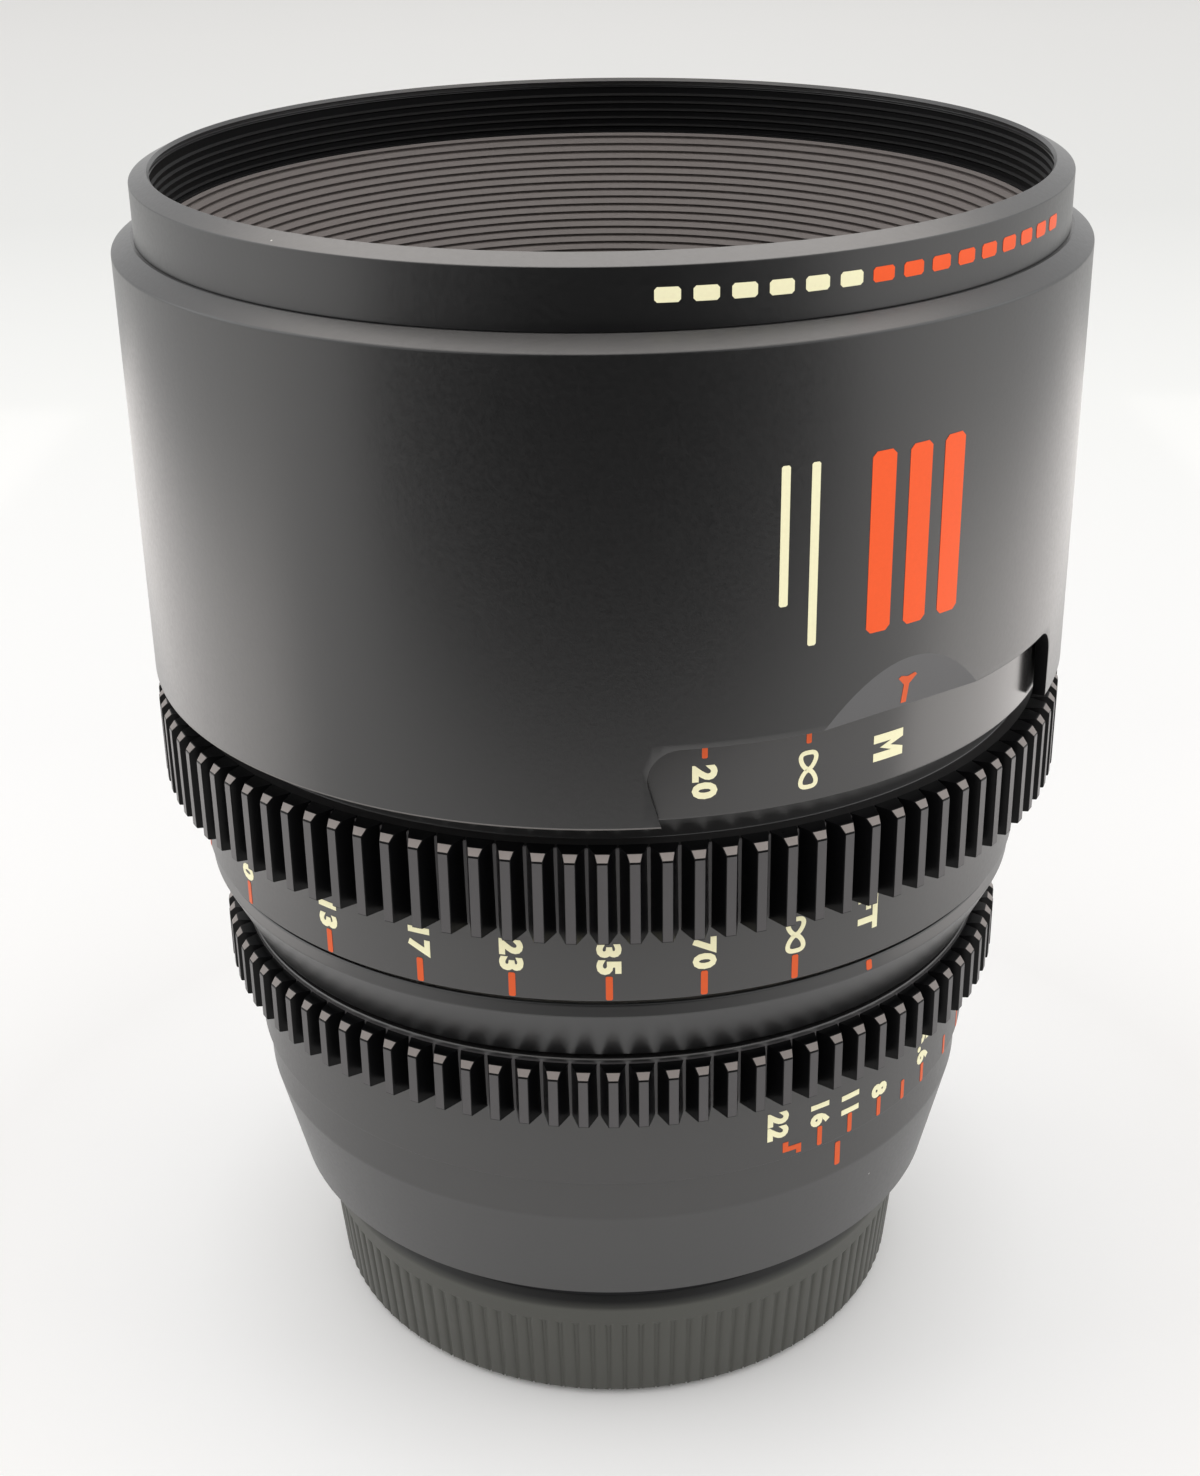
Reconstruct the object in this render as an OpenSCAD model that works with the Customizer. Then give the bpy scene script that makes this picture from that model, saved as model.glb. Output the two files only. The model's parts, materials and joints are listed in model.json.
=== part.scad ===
// Cinema prime lens, standing on its rear cap.
// Millimetres. The Z axis is the optical axis and points out of the front of the lens.
// The origin is the middle of the rear cap's bottom face. Azimuth 0 is the -Y side,
// and azimuth grows the way a ring turns by the right-hand rule about +Z.

/* [Rear cap and mount] */
// Height of the rear cap, from the table to the mount's flange plane
cap_h = 12.5; // [11:0.1:15]
// Radius of the rear cap at its top rim
cap_top_r = 29.7; // [28.5:0.1:31]
// How much the rear cap narrows towards its bottom edge
cap_taper = 1; // [0.5:0.1:1.6]
// Rounding of the rear cap's bottom edge
cap_edge = 0.8; // [0.3:0.1:1.5]
// Height of the bevel at the rear cap's top rim
cap_bevel_h = 1.15; // [0.4:0.05:2]
// Width of that bevel
cap_bevel_w = 0.8; // [0.2:0.1:1.2]
// Wall and floor of the rear cap
cap_wall = 1.8; // [1.2:0.1:2.4]
// Thickness of the mount flange
flange_t = 2.85; // [2:0.05:4]
// Radius of the mount flange
flange_r = 29; // [28:0.1:30]
// Thickness of the shim behind the mount flange
shim_t = 0.15; // [0.05:0.05:0.3]
// Radius of the bayonet's throat tube, outside
throat_r = 21.6; // [20:0.1:22]
// Wall of the throat tube
throat_wall = 2; // [1:0.1:2.5]
// Length of the throat tube behind the flange plane
throat_h = 5; // [4:0.1:6]
// How far each bayonet lug stands out of the throat tube
lug_out = 1.6; // [1:0.1:2]
// Thickness of a bayonet lug
lug_t = 1.6; // [1:0.1:2]
// Arc of a bayonet lug, degrees
lug_arc = 40; // [25:1:50]
// Circle radius of the mount screws
mount_screw_circle = 26; // [25.5:0.1:26.5]
// Radius of a mount screw's thread
mount_screw_r = 0.8; // [0.6:0.1:1]
// Number of mount screws
mount_screws_n = 4; // [3:1:6]

/* [Rear barrel] */
// Wall of the rear barrel's straight band
rear_wall = 1.47; // [1.3:0.01:2]
// How much the rear barrel narrows towards the mount
rear_taper = 2.8; // [2:0.1:3.4]
// Height of the rear barrel
rear_h = 14.1; // [13:0.1:16]
// Height of the rear barrel's straight band
rear_band_h = 3.7; // [2:0.1:5]
// Thickness of the rear barrel's mounting plate
rear_plate_t = 3; // [2:0.1:3.5]

/* [Gears] */
// Tooth module of both rings
gear_module = 0.8; // [0.78:0.01:0.82]
// Depth of a tooth
tooth_depth = 1.8; // [1.4:0.05:1.9]
// Width of a tooth's land
tooth_land = 0.86; // [0.6:0.02:1]
// Width of the strip between two teeth
tooth_floor = 0.34; // [0.2:0.02:0.6]
// Bevel on the front corner of a tooth
tooth_bevel = 0.5; // [0.2:0.05:0.8]

/* [Aperture ring] */
// Wall of the aperture ring under its teeth
aperture_wall = 2.25; // [2:0.05:2.6]
// Height of the aperture scale, below the teeth
aperture_scale_h = 7.75; // [6:0.05:9]
// Height of the aperture teeth
aperture_gear_h = 4.9; // [4:0.1:6]
// Height of the plain collar in front of the aperture teeth
aperture_collar_h = 0.9; // [0.5:0.1:2]
// Wall of the aperture ring at its rear edge
aperture_edge_wall = 1.59; // [1.4:0.01:2]
// Turn from the rest position to the widest stop, degrees
aperture_open_turn = 70; // [50:1:72]
// Turn from the rest position to the smallest stop, degrees
aperture_shut_turn = 7.3; // [2:0.1:10]
// Radius of the pin that drives the iris
drive_pin_r = 1.2; // [0.8:0.1:1.4]
// Azimuth of the drive pin at rest, degrees
drive_pin_az = 215; // [190:1:240]

/* [Middle barrel] */
// Height of the middle barrel between the two rings
middle_h = 6.5; // [5.5:0.1:8]
// How far the middle barrel's lip stands back from the focus ring's edge
middle_step = 0.3; // [0.1:0.1:1]
// Wall of the middle barrel at the aperture ring
middle_wall = 2.07; // [1.7:0.01:2.6]
// Height of the middle barrel's upright lip
middle_lip_h = 1.2; // [0.6:0.1:2]

/* [Focus ring] */
// Height of the distance scale below the focus teeth
focus_scale_h = 7.5; // [6:0.1:9]
// Height of the focus teeth
focus_gear_h = 7.5; // [6:0.1:9]
// Height of the dark groove between the focus teeth and the front barrel
focus_groove_h = 2.5; // [1.5:0.1:3]
// Wall of the focus ring at its rear edge
focus_edge_wall = 1.37; // [1.25:0.01:2]
// Wall of the collar that carries the second distance scale
focus_collar_wall = 1.57; // [1.2:0.01:2]
// Height of that collar above the front barrel's rear edge
focus_collar_h = 7.6; // [6:0.1:8]
// Wall of the sleeve with the second distance scale
sleeve_wall = 1.57; // [1:0.01:2]
// Turn from the stop past infinity to the nearest distance, degrees
focus_turn = 285; // [200:1:290]
// Axial travel of the glass for one whole turn
focus_lead = 12; // [10:0.1:12.4]
// Grooves in the cam sleeve, one for each follower
cam_starts = 3; // [3:1:3]
// Depth of a cam groove
cam_groove_depth = 1.2; // [0.8:0.1:1.4]
// Wall of the cam sleeve
cam_wall = 1.9; // [1.7:0.05:1.9]
// Radius of a cam follower
follower_r = 1.25; // [1:0.05:1.35]
// Radius of the stop pin
stop_pin_r = 0.4; // [0.3:0.05:0.45]

/* [Front barrel] */
// Wall of the front barrel round the scale sleeve
barrel_wall = 1.12; // [0.9:0.01:1.6]
// Height of the front barrel
barrel_h = 38.65; // [36:0.05:42]
// Height of the bevel at the front barrel's front edge
barrel_bevel_h = 1.05; // [0.5:0.05:2]
// Azimuth of the index line, degrees
index_az = 34.3; // [20:0.1:50]
// Half the arc of the scale window, degrees
window_half_arc = 30.4; // [20:0.1:35]
// Height of the scale window
window_h = 6.7; // [5:0.1:7]
// Radius of the scale window's front corners
window_corner = 2.6; // [0.5:0.1:3]
// Width of the flat that carries the index mark
index_flat_w = 16; // [8:0.5:18]
// Height of the flat that carries the index mark
index_flat_h = 4.5; // [2:0.1:6]
// Number of screws that hold the front barrel
barrel_screws_n = 4; // [3:1:6]

/* [Front ring and baffle] */
// How far the front barrel stands out past the front ring
front_step = 2; // [1.5:0.1:2.4]
// Height of the front ring above the front barrel
front_ring_h = 4.95; // [4.5:0.05:7]
// Wall of the front ring, from the filter thread's size to the outside
filter_wall = 1.5; // [1.3:0.1:2]
// Pitch of the filter thread
filter_pitch = 0.75; // [0.5:0.05:1]
// Chamfer at the mouth of the front ring
front_chamfer = 0.75; // [0.3:0.05:1]
// Height of the slope round the front ring's outer edge
front_slope = 0.7; // [0.3:0.05:1]
// Clearance between the front cell and the hole at the bottom of the baffle cone
baffle_hole_gap = 0.63; // [0.3:0.01:1.5]
// How much the baffle cone narrows for each millimetre of depth
baffle_slope = 0.77; // [0.74:0.01:0.82]
// Axial step from one baffle ridge to the next
ridge_step = 0.656; // [0.6:0.01:0.9]
// Depth of a groove between two baffle ridges
ridge_depth = 0.3; // [0.1:0.05:0.4]

/* [Main tube and glass carrier] */
// How much wider the main tube is under the cam sleeve than under the aperture ring
tube_step = 1.95; // [1.8:0.05:2]
// Wall of the main tube
tube_wall = 2.05; // [1.8:0.05:2.1]
// Thickness of the main tube's front flange
tube_flange_t = 4; // [3:0.1:5]
// Radius of the front cell
front_cell_r = 23.97; // [23.5:0.01:24]
// Wall of the front cell
front_cell_wall = 2; // [1.5:0.1:2.2]
// Radius of the rear glass
rear_glass_r = 17.45; // [17:0.05:17.6]

/* [Iris] */
// Number of iris blades
blade_count = 10; // [8:1:10]
// Radius of the full opening
iris_open_r = 17; // [15:0.1:17.2]
// Width of a blade
blade_w = 7.6; // [7:0.1:7.8]
// Thickness of a blade
blade_t = 0.15; // [0.1:0.01:0.18]
// Height of one blade's level
blade_level = 0.3; // [0.25:0.01:0.32]
// Arc of a blade, degrees
blade_arc = 112; // [90:1:120]
// From the outside of the blades' ring to the circle of their pivots
pivot_out = 2.4; // [2.2:0.1:2.8]
// From the circle of the pivots to the wall of the iris chamber
chamber_out = 3.6; // [3.3:0.1:4]
// Wall of the glass carrier round the iris chamber
carrier_wall = 0.75; // [0.6:0.05:1]
// Radius of a blade's pivot pin
pivot_r = 0.6; // [0.4:0.05:0.7]
// Distance from a blade's pivot to its cam pin
blade_arm = 6; // [5.5:0.1:6.2]
// Radius of a blade's cam pin
cam_pin_r = 0.35; // [0.25:0.05:0.4]
// Swing of a blade from the widest to the smallest stop, degrees
blade_swing = 33.5; // [31:0.1:34]

/* [Fits] */
// Radial clearance of a running fit
run_gap = 0.05; // [0.02:0.01:0.1]
// Radial clearance between two pieces that are fastened together
seat_gap = 0.03; // [0.01:0.01:0.06]
// Axial gap between a ring and the barrel beside it
ring_gap = 0.15; // [0.1:0.05:0.5]
// Axial gap in front of the aperture ring and behind the focus ring
shadow_gap = 0.55; // [0.3:0.05:0.8]
// Side clearance of a pin in its slot
slot_gap = 0.1; // [0.05:0.01:0.12]
// Clearance between the scale sleeve and the front barrel
sleeve_gap = 0.28; // [0.2:0.01:0.4]
// Clearance of the glass carrier's rear end in the main tube
carrier_gap = 0.1; // [0.05:0.01:0.2]

/* [Hidden] */
$fn = 128;
dome_fn = 360;
eps = 0.5;
full_turn = 360;
edge_break = 0.2;

// Rear cap at its bottom edge
cap_bottom_r = cap_top_r - cap_taper;

// Heights along the optical axis
flange_z = cap_h;
rear_z = flange_z + flange_t + shim_t;
aperture_z = rear_z + rear_h + ring_gap;
aperture_teeth_z = aperture_z + aperture_scale_h;
aperture_collar_z = aperture_teeth_z + aperture_gear_h;
aperture_top_z = aperture_collar_z + aperture_collar_h;
middle_z = aperture_top_z + shadow_gap;
middle_top_z = middle_z + middle_h;
focus_z = middle_top_z + shadow_gap;
focus_teeth_z = focus_z + focus_scale_h;
focus_groove_z = focus_teeth_z + focus_gear_h;
barrel_z = focus_groove_z + focus_groove_h;
barrel_top_z = barrel_z + barrel_h;
front_z = barrel_top_z + front_ring_h;
focus_top_z = barrel_z + focus_collar_h;

// Radii from the iris outwards: each piece adds its wall and its clearance
pivot_circle = iris_open_r + blade_w + pivot_out;
chamber_r = pivot_circle + chamber_out;
carrier_body_r = chamber_r + carrier_wall;
tube_rear_in = carrier_body_r + carrier_gap;
tube_rear_r = tube_rear_in + tube_wall;
tube_front_r = tube_rear_r + tube_step;
tube_front_in = tube_front_r - tube_wall;
cam_in = tube_front_r + run_gap;
cam_out = cam_in + cam_wall;
focus_bore_r = cam_out + seat_gap;
focus_edge_r = focus_bore_r + focus_edge_wall;
focus_collar_r = focus_bore_r + focus_collar_wall;
scale_sleeve_r = focus_collar_r + seat_gap + sleeve_wall;
barrel_bore_r = scale_sleeve_r + sleeve_gap;
barrel_d = 2*(barrel_bore_r + barrel_wall);
front_d = barrel_d - 2*front_step;
filter_d = front_d - 2*filter_wall;
aperture_bore_r = tube_rear_r + run_gap;
aperture_edge_r = aperture_bore_r + aperture_edge_wall;
middle_r = focus_edge_r - middle_step;
middle_edge_r = tube_rear_r + seat_gap + middle_wall;
rear_r = tube_rear_r + seat_gap + rear_wall;
rear_end_r = rear_r - rear_taper;

// Teeth of the two gears: as many as the rings have room for
focus_teeth = round(barrel_d/gear_module) - 2;
aperture_teeth = round(2*(aperture_bore_r + aperture_wall + tooth_depth)/gear_module) - 2;
focus_tip_r = gear_module*(focus_teeth + 2)/2;
focus_root_r = focus_tip_r - tooth_depth;
aperture_tip_r = gear_module*(aperture_teeth + 2)/2;
aperture_root_r = aperture_tip_r - tooth_depth;

// Travel of the glass carrier and of the aperture ring
focus_travel = focus_lead*focus_turn/full_turn;
aperture_turn = aperture_open_turn + aperture_shut_turn;
blade_ratio = blade_swing/aperture_turn;
blade_rest = blade_ratio*aperture_open_turn;

// Front ring and baffle
thread_depth = 0.541*filter_pitch;
thread_relief = 0.45;
filter_minor_r = filter_d/2 - thread_depth;
skirt_wall = 1;
skirt_r = front_d/2 - skirt_wall;
baffle_sunk = 0.45;
baffle_top_z = barrel_top_z - baffle_sunk;
thread_z = baffle_top_z + ring_gap;
baffle_r = filter_minor_r + thread_relief - seat_gap;
baffle_top_gap = 0.1;
baffle_top_r = filter_minor_r - baffle_top_gap;
baffle_hole_r = front_cell_r + baffle_hole_gap;
baffle_depth = (baffle_top_r - baffle_hole_r)/baffle_slope;
baffle_z = baffle_top_z - baffle_depth;
baffle_wall = 2.2;
baffle_rim = 1;
baffle_flange_drop = 9.6;
baffle_flange_z = baffle_top_z - baffle_flange_drop;
baffle_flange_t = 4;
baffle_flange_step = 0.15;
baffle_flange_r = skirt_r - baffle_flange_step;
skirt_z = baffle_flange_z + baffle_flange_t;
barrel_lip = 1.4;
ridge_count = floor((baffle_depth - baffle_rim)/ridge_step);
ridge_share = 0.35;

// Main tube
tube_end_rise = 9;
tube_end_z = rear_z + tube_end_rise;
tube_step_z = middle_top_z - 1.2;
tube_web_t = 2.2;
tube_flange_z = focus_top_z + 1.6;
tube_top_z = tube_flange_z + tube_flange_t;
tube_flange_r = barrel_bore_r - seat_gap;

// Cam sleeve and followers
cam_z = tube_step_z + tube_web_t + ring_gap;
cam_rim = 1.6;
ring_screw_r = 0.8;
follower_z = cam_z + cam_rim + follower_r + slot_gap;
cam_top_z = max(follower_z + focus_travel + follower_r + slot_gap, ring_screw_z() + ring_screw_r) + cam_rim;
follower_az = 60;
groove_half = follower_r + slot_gap + 0.05;
groove_end_turn = 3;
groove_steps = 72;

// Glass carrier
carrier_z = aperture_top_z + 0.5;
carrier_guide_r = tube_front_in - run_gap;
carrier_guide_z = follower_z - 2.6;
carrier_guide_h = 11;
carrier_guide_top = follower_z + carrier_guide_h;
carrier_step = 3.35;
carrier_neck_r = carrier_guide_r - carrier_step;
carrier_top_z = baffle_z - focus_travel - 1.2;
chamber_h = 7.7;
chamber_z = carrier_z + chamber_h;
carrier_web_t = 2;
glass_seat_z = chamber_z + carrier_web_t;
inner_glass_r = 19.95;
front_bore_r = front_cell_r + seat_gap;
inner_bore_h = 8.8;
front_bore_z = glass_seat_z + inner_bore_h;
front_cell_z = front_bore_z + 0.3;
front_cell_top = baffle_z - 0.2;
front_glass_r = front_cell_r - front_cell_wall - run_gap;

// Rear group, iris drive and its fork
drive_pin_rise = 6.2;
rear_group_flange_t = 2.2;
rear_group_z = tube_end_z - 4.5;
rear_group_r = rear_glass_r + run_gap + 3.9;
fork_t = 1.7;
fork_gap = 1.05;
fork_out = tube_rear_in - fork_gap;
fork_in = fork_out - fork_t;
fork_arc = 16;
fork_z = drive_pin_z() - focus_travel - drive_pin_r - 0.4;
cam_ring_z = carrier_z + slot_gap;
cam_ring_t = 1.5;
cam_ring_in = 20.5;
cam_ring_r = chamber_r - 0.1;
blade_z = cam_ring_z + cam_ring_t + 0.2;
blade_top_z = blade_z + blade_level*blade_count;
iris_plate_z = blade_top_z + 0.1;
pin_angle = -90 - blade_swing/2;
slot_steps = 16;

function drive_pin_z() = aperture_z + drive_pin_rise;

blade_names = [for (i = [1 : blade_count]) str("iris_blade_", i)];

// A piece turned on the optical axis from half its section
module turned(points) {
    rotate_extrude() polygon(points);
}

// A plain tube from one height to another
module tube(r_out, r_in, z0, z1) {
    turned([[r_in, z0], [r_out, z0], [r_out, z1], [r_in, z1]]);
}

// Part of a tube, centred on an azimuth
module sector(r_in, r_out, z0, z1, az, arc) {
    rotate([0, 0, az - 90 - arc/2])
        rotate_extrude(angle = arc)
            polygon([[r_in, z0], [r_out, z0], [r_out, z1], [r_in, z1]]);
}

// Turns the local X axis to point outwards at an azimuth
module at_az(az) {
    rotate([0, 0, az - 90]) children();
}

// Copies spread evenly round the optical axis
module around(n, first) {
    for (i = [0 : n - 1]) at_az(first + i*full_turn/n) children();
}

// A round rod that points outwards along X
module radial_rod(r, x0, x1, z) {
    translate([x0, 0, z]) rotate([0, 90, 0]) cylinder(r = r, h = x1 - x0);
}

// An upright rod at a distance from the axis
module upright_rod(r, x, z0, z1) {
    translate([x, 0, z0]) cylinder(r = r, h = z1 - z0);
}

// One outline with straight-flanked teeth; it reaches a little past the tips
function gear_outline(n, tip_r, root_r) = let (
    pitch = full_turn/n,
    over = 0.2,
    land = tooth_land/2/tip_r*180/PI,
    floor_half = tooth_floor/2/root_r*180/PI,
    slope = (pitch/2 - floor_half - land)/(tip_r - root_r),
    tip = land - slope*over)
    [for (i = [0 : n - 1]) for (p = [
        [root_r, floor_half - pitch/2], [tip_r + over, -tip], [tip_r + over, tip],
        [root_r, pitch/2 - floor_half]])
        p[0]*[cos(i*pitch + p[1]), sin(i*pitch + p[1])]];

// A band of teeth with bevelled front corners
module gear_band(n, tip_r, root_r, z0, z1) {
    intersection() {
        translate([0, 0, z0]) linear_extrude(z1 - z0) polygon(gear_outline(n, tip_r, root_r));
        turned([[0, z0], [tip_r, z0], [tip_r, z1 - tooth_bevel], [tip_r - tooth_bevel, z1], [0, z1]]);
    }
}

// Front ring with its filter thread, drawn at the thread's minor radius
module front_ring() {
    color("#2a2a2c")
    turned([
        [filter_minor_r + thread_relief, skirt_z], [skirt_r, skirt_z], [skirt_r, barrel_top_z],
        [front_d/2, barrel_top_z], [front_d/2, front_z - front_slope],
        [filter_minor_r + front_chamfer + edge_break, front_z], [filter_minor_r + front_chamfer, front_z],
        [filter_minor_r, front_z - front_chamfer], [filter_minor_r, thread_z],
        [filter_minor_r + thread_relief, thread_z]]);
}

// Stepped outline of the baffle's cone, from its hole to its top edge
function ridge_points() = [for (i = [0 : ridge_count - 1]) for (p = [0, 1])
    let (z = baffle_z + baffle_rim + (i + ridge_share*p)*ridge_step)
    [baffle_hole_r + baffle_slope*(z - baffle_z) + ridge_depth*p, z]];

// Ridged cone that keeps stray light off the front glass
module front_baffle() {
    under_r = baffle_hole_r + baffle_slope*(baffle_flange_z - baffle_z) + baffle_wall;
    rim_r = baffle_hole_r + baffle_wall;
    color("#3a3836")
    turned(concat(
        [[baffle_hole_r, baffle_z - baffle_rim], [rim_r, baffle_z - baffle_rim], [rim_r, baffle_z],
         [under_r, baffle_flange_z], [baffle_flange_r - seat_gap, baffle_flange_z],
         [baffle_flange_r - seat_gap, skirt_z], [baffle_r, skirt_z],
         [baffle_r, baffle_top_z], [baffle_top_r, baffle_top_z]],
        [for (i = [len(ridge_points()) - 1 : -1 : 0]) ridge_points()[i]],
        [[baffle_hole_r, baffle_z + baffle_rim]]));
}

// Cut for the scale window, open to the rear, with rounded front corners
module window_cut() {
    r_in = tube_flange_r - 4;
    r_out = barrel_d/2 + 2;
    top_z = barrel_z + window_h;
    corner_arc = window_corner/(barrel_d/2)*180/PI;
    sector(r_in, r_out, barrel_z - eps, top_z - window_corner, index_az, 2*window_half_arc);
    sector(r_in, r_out, barrel_z - eps, top_z, index_az, 2*(window_half_arc - corner_arc));
    for (side = [-1, 1])
        at_az(index_az + side*(window_half_arc - corner_arc))
            radial_rod(window_corner, r_in, r_out, top_z - window_corner);
}

// Cut for the leaning flat above the window, an arch where it meets the round barrel
module index_flat_cut() {
    depth = index_flat_w*index_flat_w/(4*barrel_d);
    at_az(index_az)
        translate([barrel_d/2 - depth, 0, barrel_z + window_h])
            rotate([0, atan(depth/index_flat_h), 0])
                translate([0, -index_flat_w, -window_h])
                    cube([3, 2*index_flat_w, window_h + 2*index_flat_h]);
}

// Outer barrel with the scale window and the flat that carries the index mark
module front_barrel() {
    color("#232326")
    difference() {
        turned([
            [barrel_bore_r, barrel_z], [barrel_d/2, barrel_z], [barrel_d/2, barrel_top_z - barrel_bevel_h],
            [front_d/2, barrel_top_z], [skirt_r + seat_gap, barrel_top_z], [skirt_r + seat_gap, skirt_z],
            [baffle_flange_r, skirt_z], [baffle_flange_r, baffle_flange_z],
            [baffle_flange_r - barrel_lip, baffle_flange_z], [baffle_flange_r - barrel_lip, tube_top_z],
            [barrel_bore_r, tube_top_z]]);
        window_cut();
        index_flat_cut();
        around(barrel_screws_n, 10)
            upright_rod(mount_screw_r + seat_gap, screw_circle(), tube_top_z - eps, screw_end_z());
    }
}

screw_head_r = 1.3;
screw_head_h = 1.2;
function screw_circle() = barrel_d/2 - 2.8;
screw_reach = 5;
function screw_end_z() = tube_top_z + screw_reach;

// Screws that pull the front barrel down on the main tube's flange
module barrel_screws() {
    color("#8a8a8c")
    around(barrel_screws_n, 10) {
        upright_rod(mount_screw_r, screw_circle(), tube_flange_z + 0.8, screw_end_z() - 0.3);
        difference() {
            upright_rod(screw_head_r, screw_circle(), tube_flange_z, tube_flange_z + screw_head_h);
            translate([screw_circle(), 0, tube_flange_z - eps]) cylinder(r = 0.6, h = 1, $fn = 6);
        }
    }
}

// Fixed tube that carries every ring; its straight slots keep the glass carrier from turning
module main_tube() {
    color("#3c3c40")
    difference() {
        turned([
            [tube_rear_in, tube_end_z], [tube_rear_r, tube_end_z], [tube_rear_r, tube_step_z],
            [tube_front_r, tube_step_z], [tube_front_r, tube_flange_z], [tube_flange_r, tube_flange_z],
            [tube_flange_r, tube_top_z], [tube_front_in, tube_top_z],
            [tube_front_in, tube_step_z + tube_web_t], [tube_rear_in, tube_step_z + tube_web_t]]);
        around(cam_starts, follower_az) straight_slot();
        sector(tube_rear_in - 1, tube_rear_r + 1,
            drive_pin_z() - drive_pin_r - slot_gap, drive_pin_z() + drive_pin_r + slot_gap,
            drive_pin_az + (aperture_shut_turn - aperture_open_turn)/2, aperture_turn + 6);
        around(barrel_screws_n, 10) {
            upright_rod(mount_screw_r + seat_gap, screw_circle(), tube_flange_z - eps, tube_top_z + eps);
            upright_rod(screw_head_r + seat_gap, screw_circle(), tube_flange_z - eps,
                tube_flange_z + screw_head_h + seat_gap);
        }
    }
}

// Cut for one cam follower, with round ends
module straight_slot() {
    low = follower_z;
    high = follower_z + focus_travel;
    w = follower_r + slot_gap;
    translate([tube_front_in - 1, -w, low]) cube([tube_wall + 2, 2*w, high - low]);
    radial_rod(w, tube_front_in - 1, tube_front_r + 1, low);
    radial_rod(w, tube_front_in - 1, tube_front_r + 1, high);
}

// Fixed cone between the two rings
module middle_barrel() {
    in_low = tube_rear_r + seat_gap;
    in_high = tube_front_r + seat_gap;
    color("#303033")
    difference() {
        turned([
            [in_low, middle_z], [middle_edge_r, middle_z], [middle_r, middle_top_z - middle_lip_h],
            [middle_r, middle_top_z], [in_high, middle_top_z], [in_high, tube_step_z],
            [in_low, tube_step_z]]);
        at_az(stop_az())
            upright_rod(stop_pin_r + seat_gap, stop_circle(), middle_top_z - 1, middle_top_z + eps);
    }
}

function stop_circle() = cam_out + seat_gap + slot_gap + stop_pin_r;
function stop_az() = 100;

// Pin that ends the focus ring's turn both ways
module focus_stop_pin() {
    color("#a0a0a2")
    at_az(stop_az()) upright_rod(stop_pin_r, stop_circle(), middle_top_z - 1, focus_z + 1.6);
}

// Slippery washer under the cam sleeve
module focus_glide_ring() {
    color("#d8d4c8")
    tube(cam_out - 0.2, cam_in, middle_top_z + 0.02, cam_z - 0.03);
}

// Slippery washer between the rear barrel and the aperture ring
module aperture_glide_ring() {
    color("#d8d4c8")
    tube(rear_r - 0.6, tube_rear_r + run_gap, aperture_z - ring_gap + 0.02, aperture_z - 0.03);
}

// Outer barrel at the rear, with the plate that the mount is screwed to
module rear_barrel() {
    plate_top = rear_z + rear_plate_t;
    color("#2b2b2e")
    difference() {
        turned([
            [throat_r + 0.4, rear_z], [rear_end_r, rear_z], [rear_r, rear_z + rear_h - rear_band_h],
            [rear_r, rear_z + rear_h], [tube_rear_r + seat_gap, rear_z + rear_h],
            [tube_rear_r + seat_gap, tube_end_z], [rear_end_r - 1.7, tube_end_z],
            [rear_end_r - 1.7, plate_top], [throat_r + 0.4, plate_top]]);
        around(mount_screws_n, 45)
            upright_rod(mount_screw_r + seat_gap, mount_screw_circle, rear_z - eps, plate_top + eps);
    }
}

// Thin ring that sets the distance from the flange to the sensor
module flange_shim() {
    color("#b89a58")
    difference() {
        tube(flange_r - 0.5, throat_r + 0.4, rear_z - shim_t, rear_z);
        around(mount_screws_n, 45)
            upright_rod(mount_screw_r + seat_gap, mount_screw_circle, rear_z - shim_t - eps, rear_z + eps);
    }
}

// Bayonet: flange, throat tube and three lugs
module mount_flange() {
    lug_z = flange_z - throat_h + 0.5;
    color("#55565a")
    difference() {
        union() {
            turned([
                [throat_r - throat_wall, flange_z - throat_h], [throat_r, flange_z - throat_h],
                [throat_r, flange_z], [flange_r, flange_z], [flange_r, flange_z + flange_t],
                [throat_r - throat_wall, flange_z + flange_t]]);
            for (i = [0 : 2])
                sector(throat_r - 1, throat_r + lug_out, lug_z, lug_z + lug_t, 120*i, lug_arc);
        }
        around(mount_screws_n, 45) screw_hole();
        at_az(80) upright_rod(1.1, mount_screw_circle, flange_z - eps, flange_z + 1.6);
    }
}

// Countersunk hole for a mount screw
module screw_hole() {
    upright_rod(mount_screw_r + seat_gap, mount_screw_circle, flange_z - eps, rear_z);
    translate([mount_screw_circle, 0, flange_z - 0.01]) cylinder(r1 = 1.7, r2 = mount_screw_r, h = 0.9);
}

// Countersunk screws that hold the mount on
module mount_screws() {
    color("#8a8a8c")
    around(mount_screws_n, 45)
        difference() {
            union() {
                translate([mount_screw_circle, 0, flange_z + 0.05])
                    cylinder(r1 = 1.57, r2 = mount_screw_r - 0.05, h = 0.85);
                upright_rod(mount_screw_r, mount_screw_circle, flange_z + 0.8, rear_z + rear_plate_t - 0.4);
            }
            translate([mount_screw_circle - 1.2, -0.18, flange_z]) cube([2.4, 0.36, 0.4]);
            translate([mount_screw_circle - 0.18, -1.2, flange_z]) cube([0.36, 2.4, 0.4]);
        }
}

mask_drop = 3;
mask_wall = 1.4;
mask_in = 4.2;
mask_lip = 1;

// Plastic ring that masks the rear opening
module rear_light_baffle() {
    r = throat_r - throat_wall - seat_gap;
    top_z = flange_z + flange_t;
    color("#1c1c1e")
    turned([[r - mask_wall, flange_z - mask_drop], [r, flange_z - mask_drop], [r, top_z],
        [r - mask_in, top_z],
        [r - mask_in, top_z - mask_lip]]);
}

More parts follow.
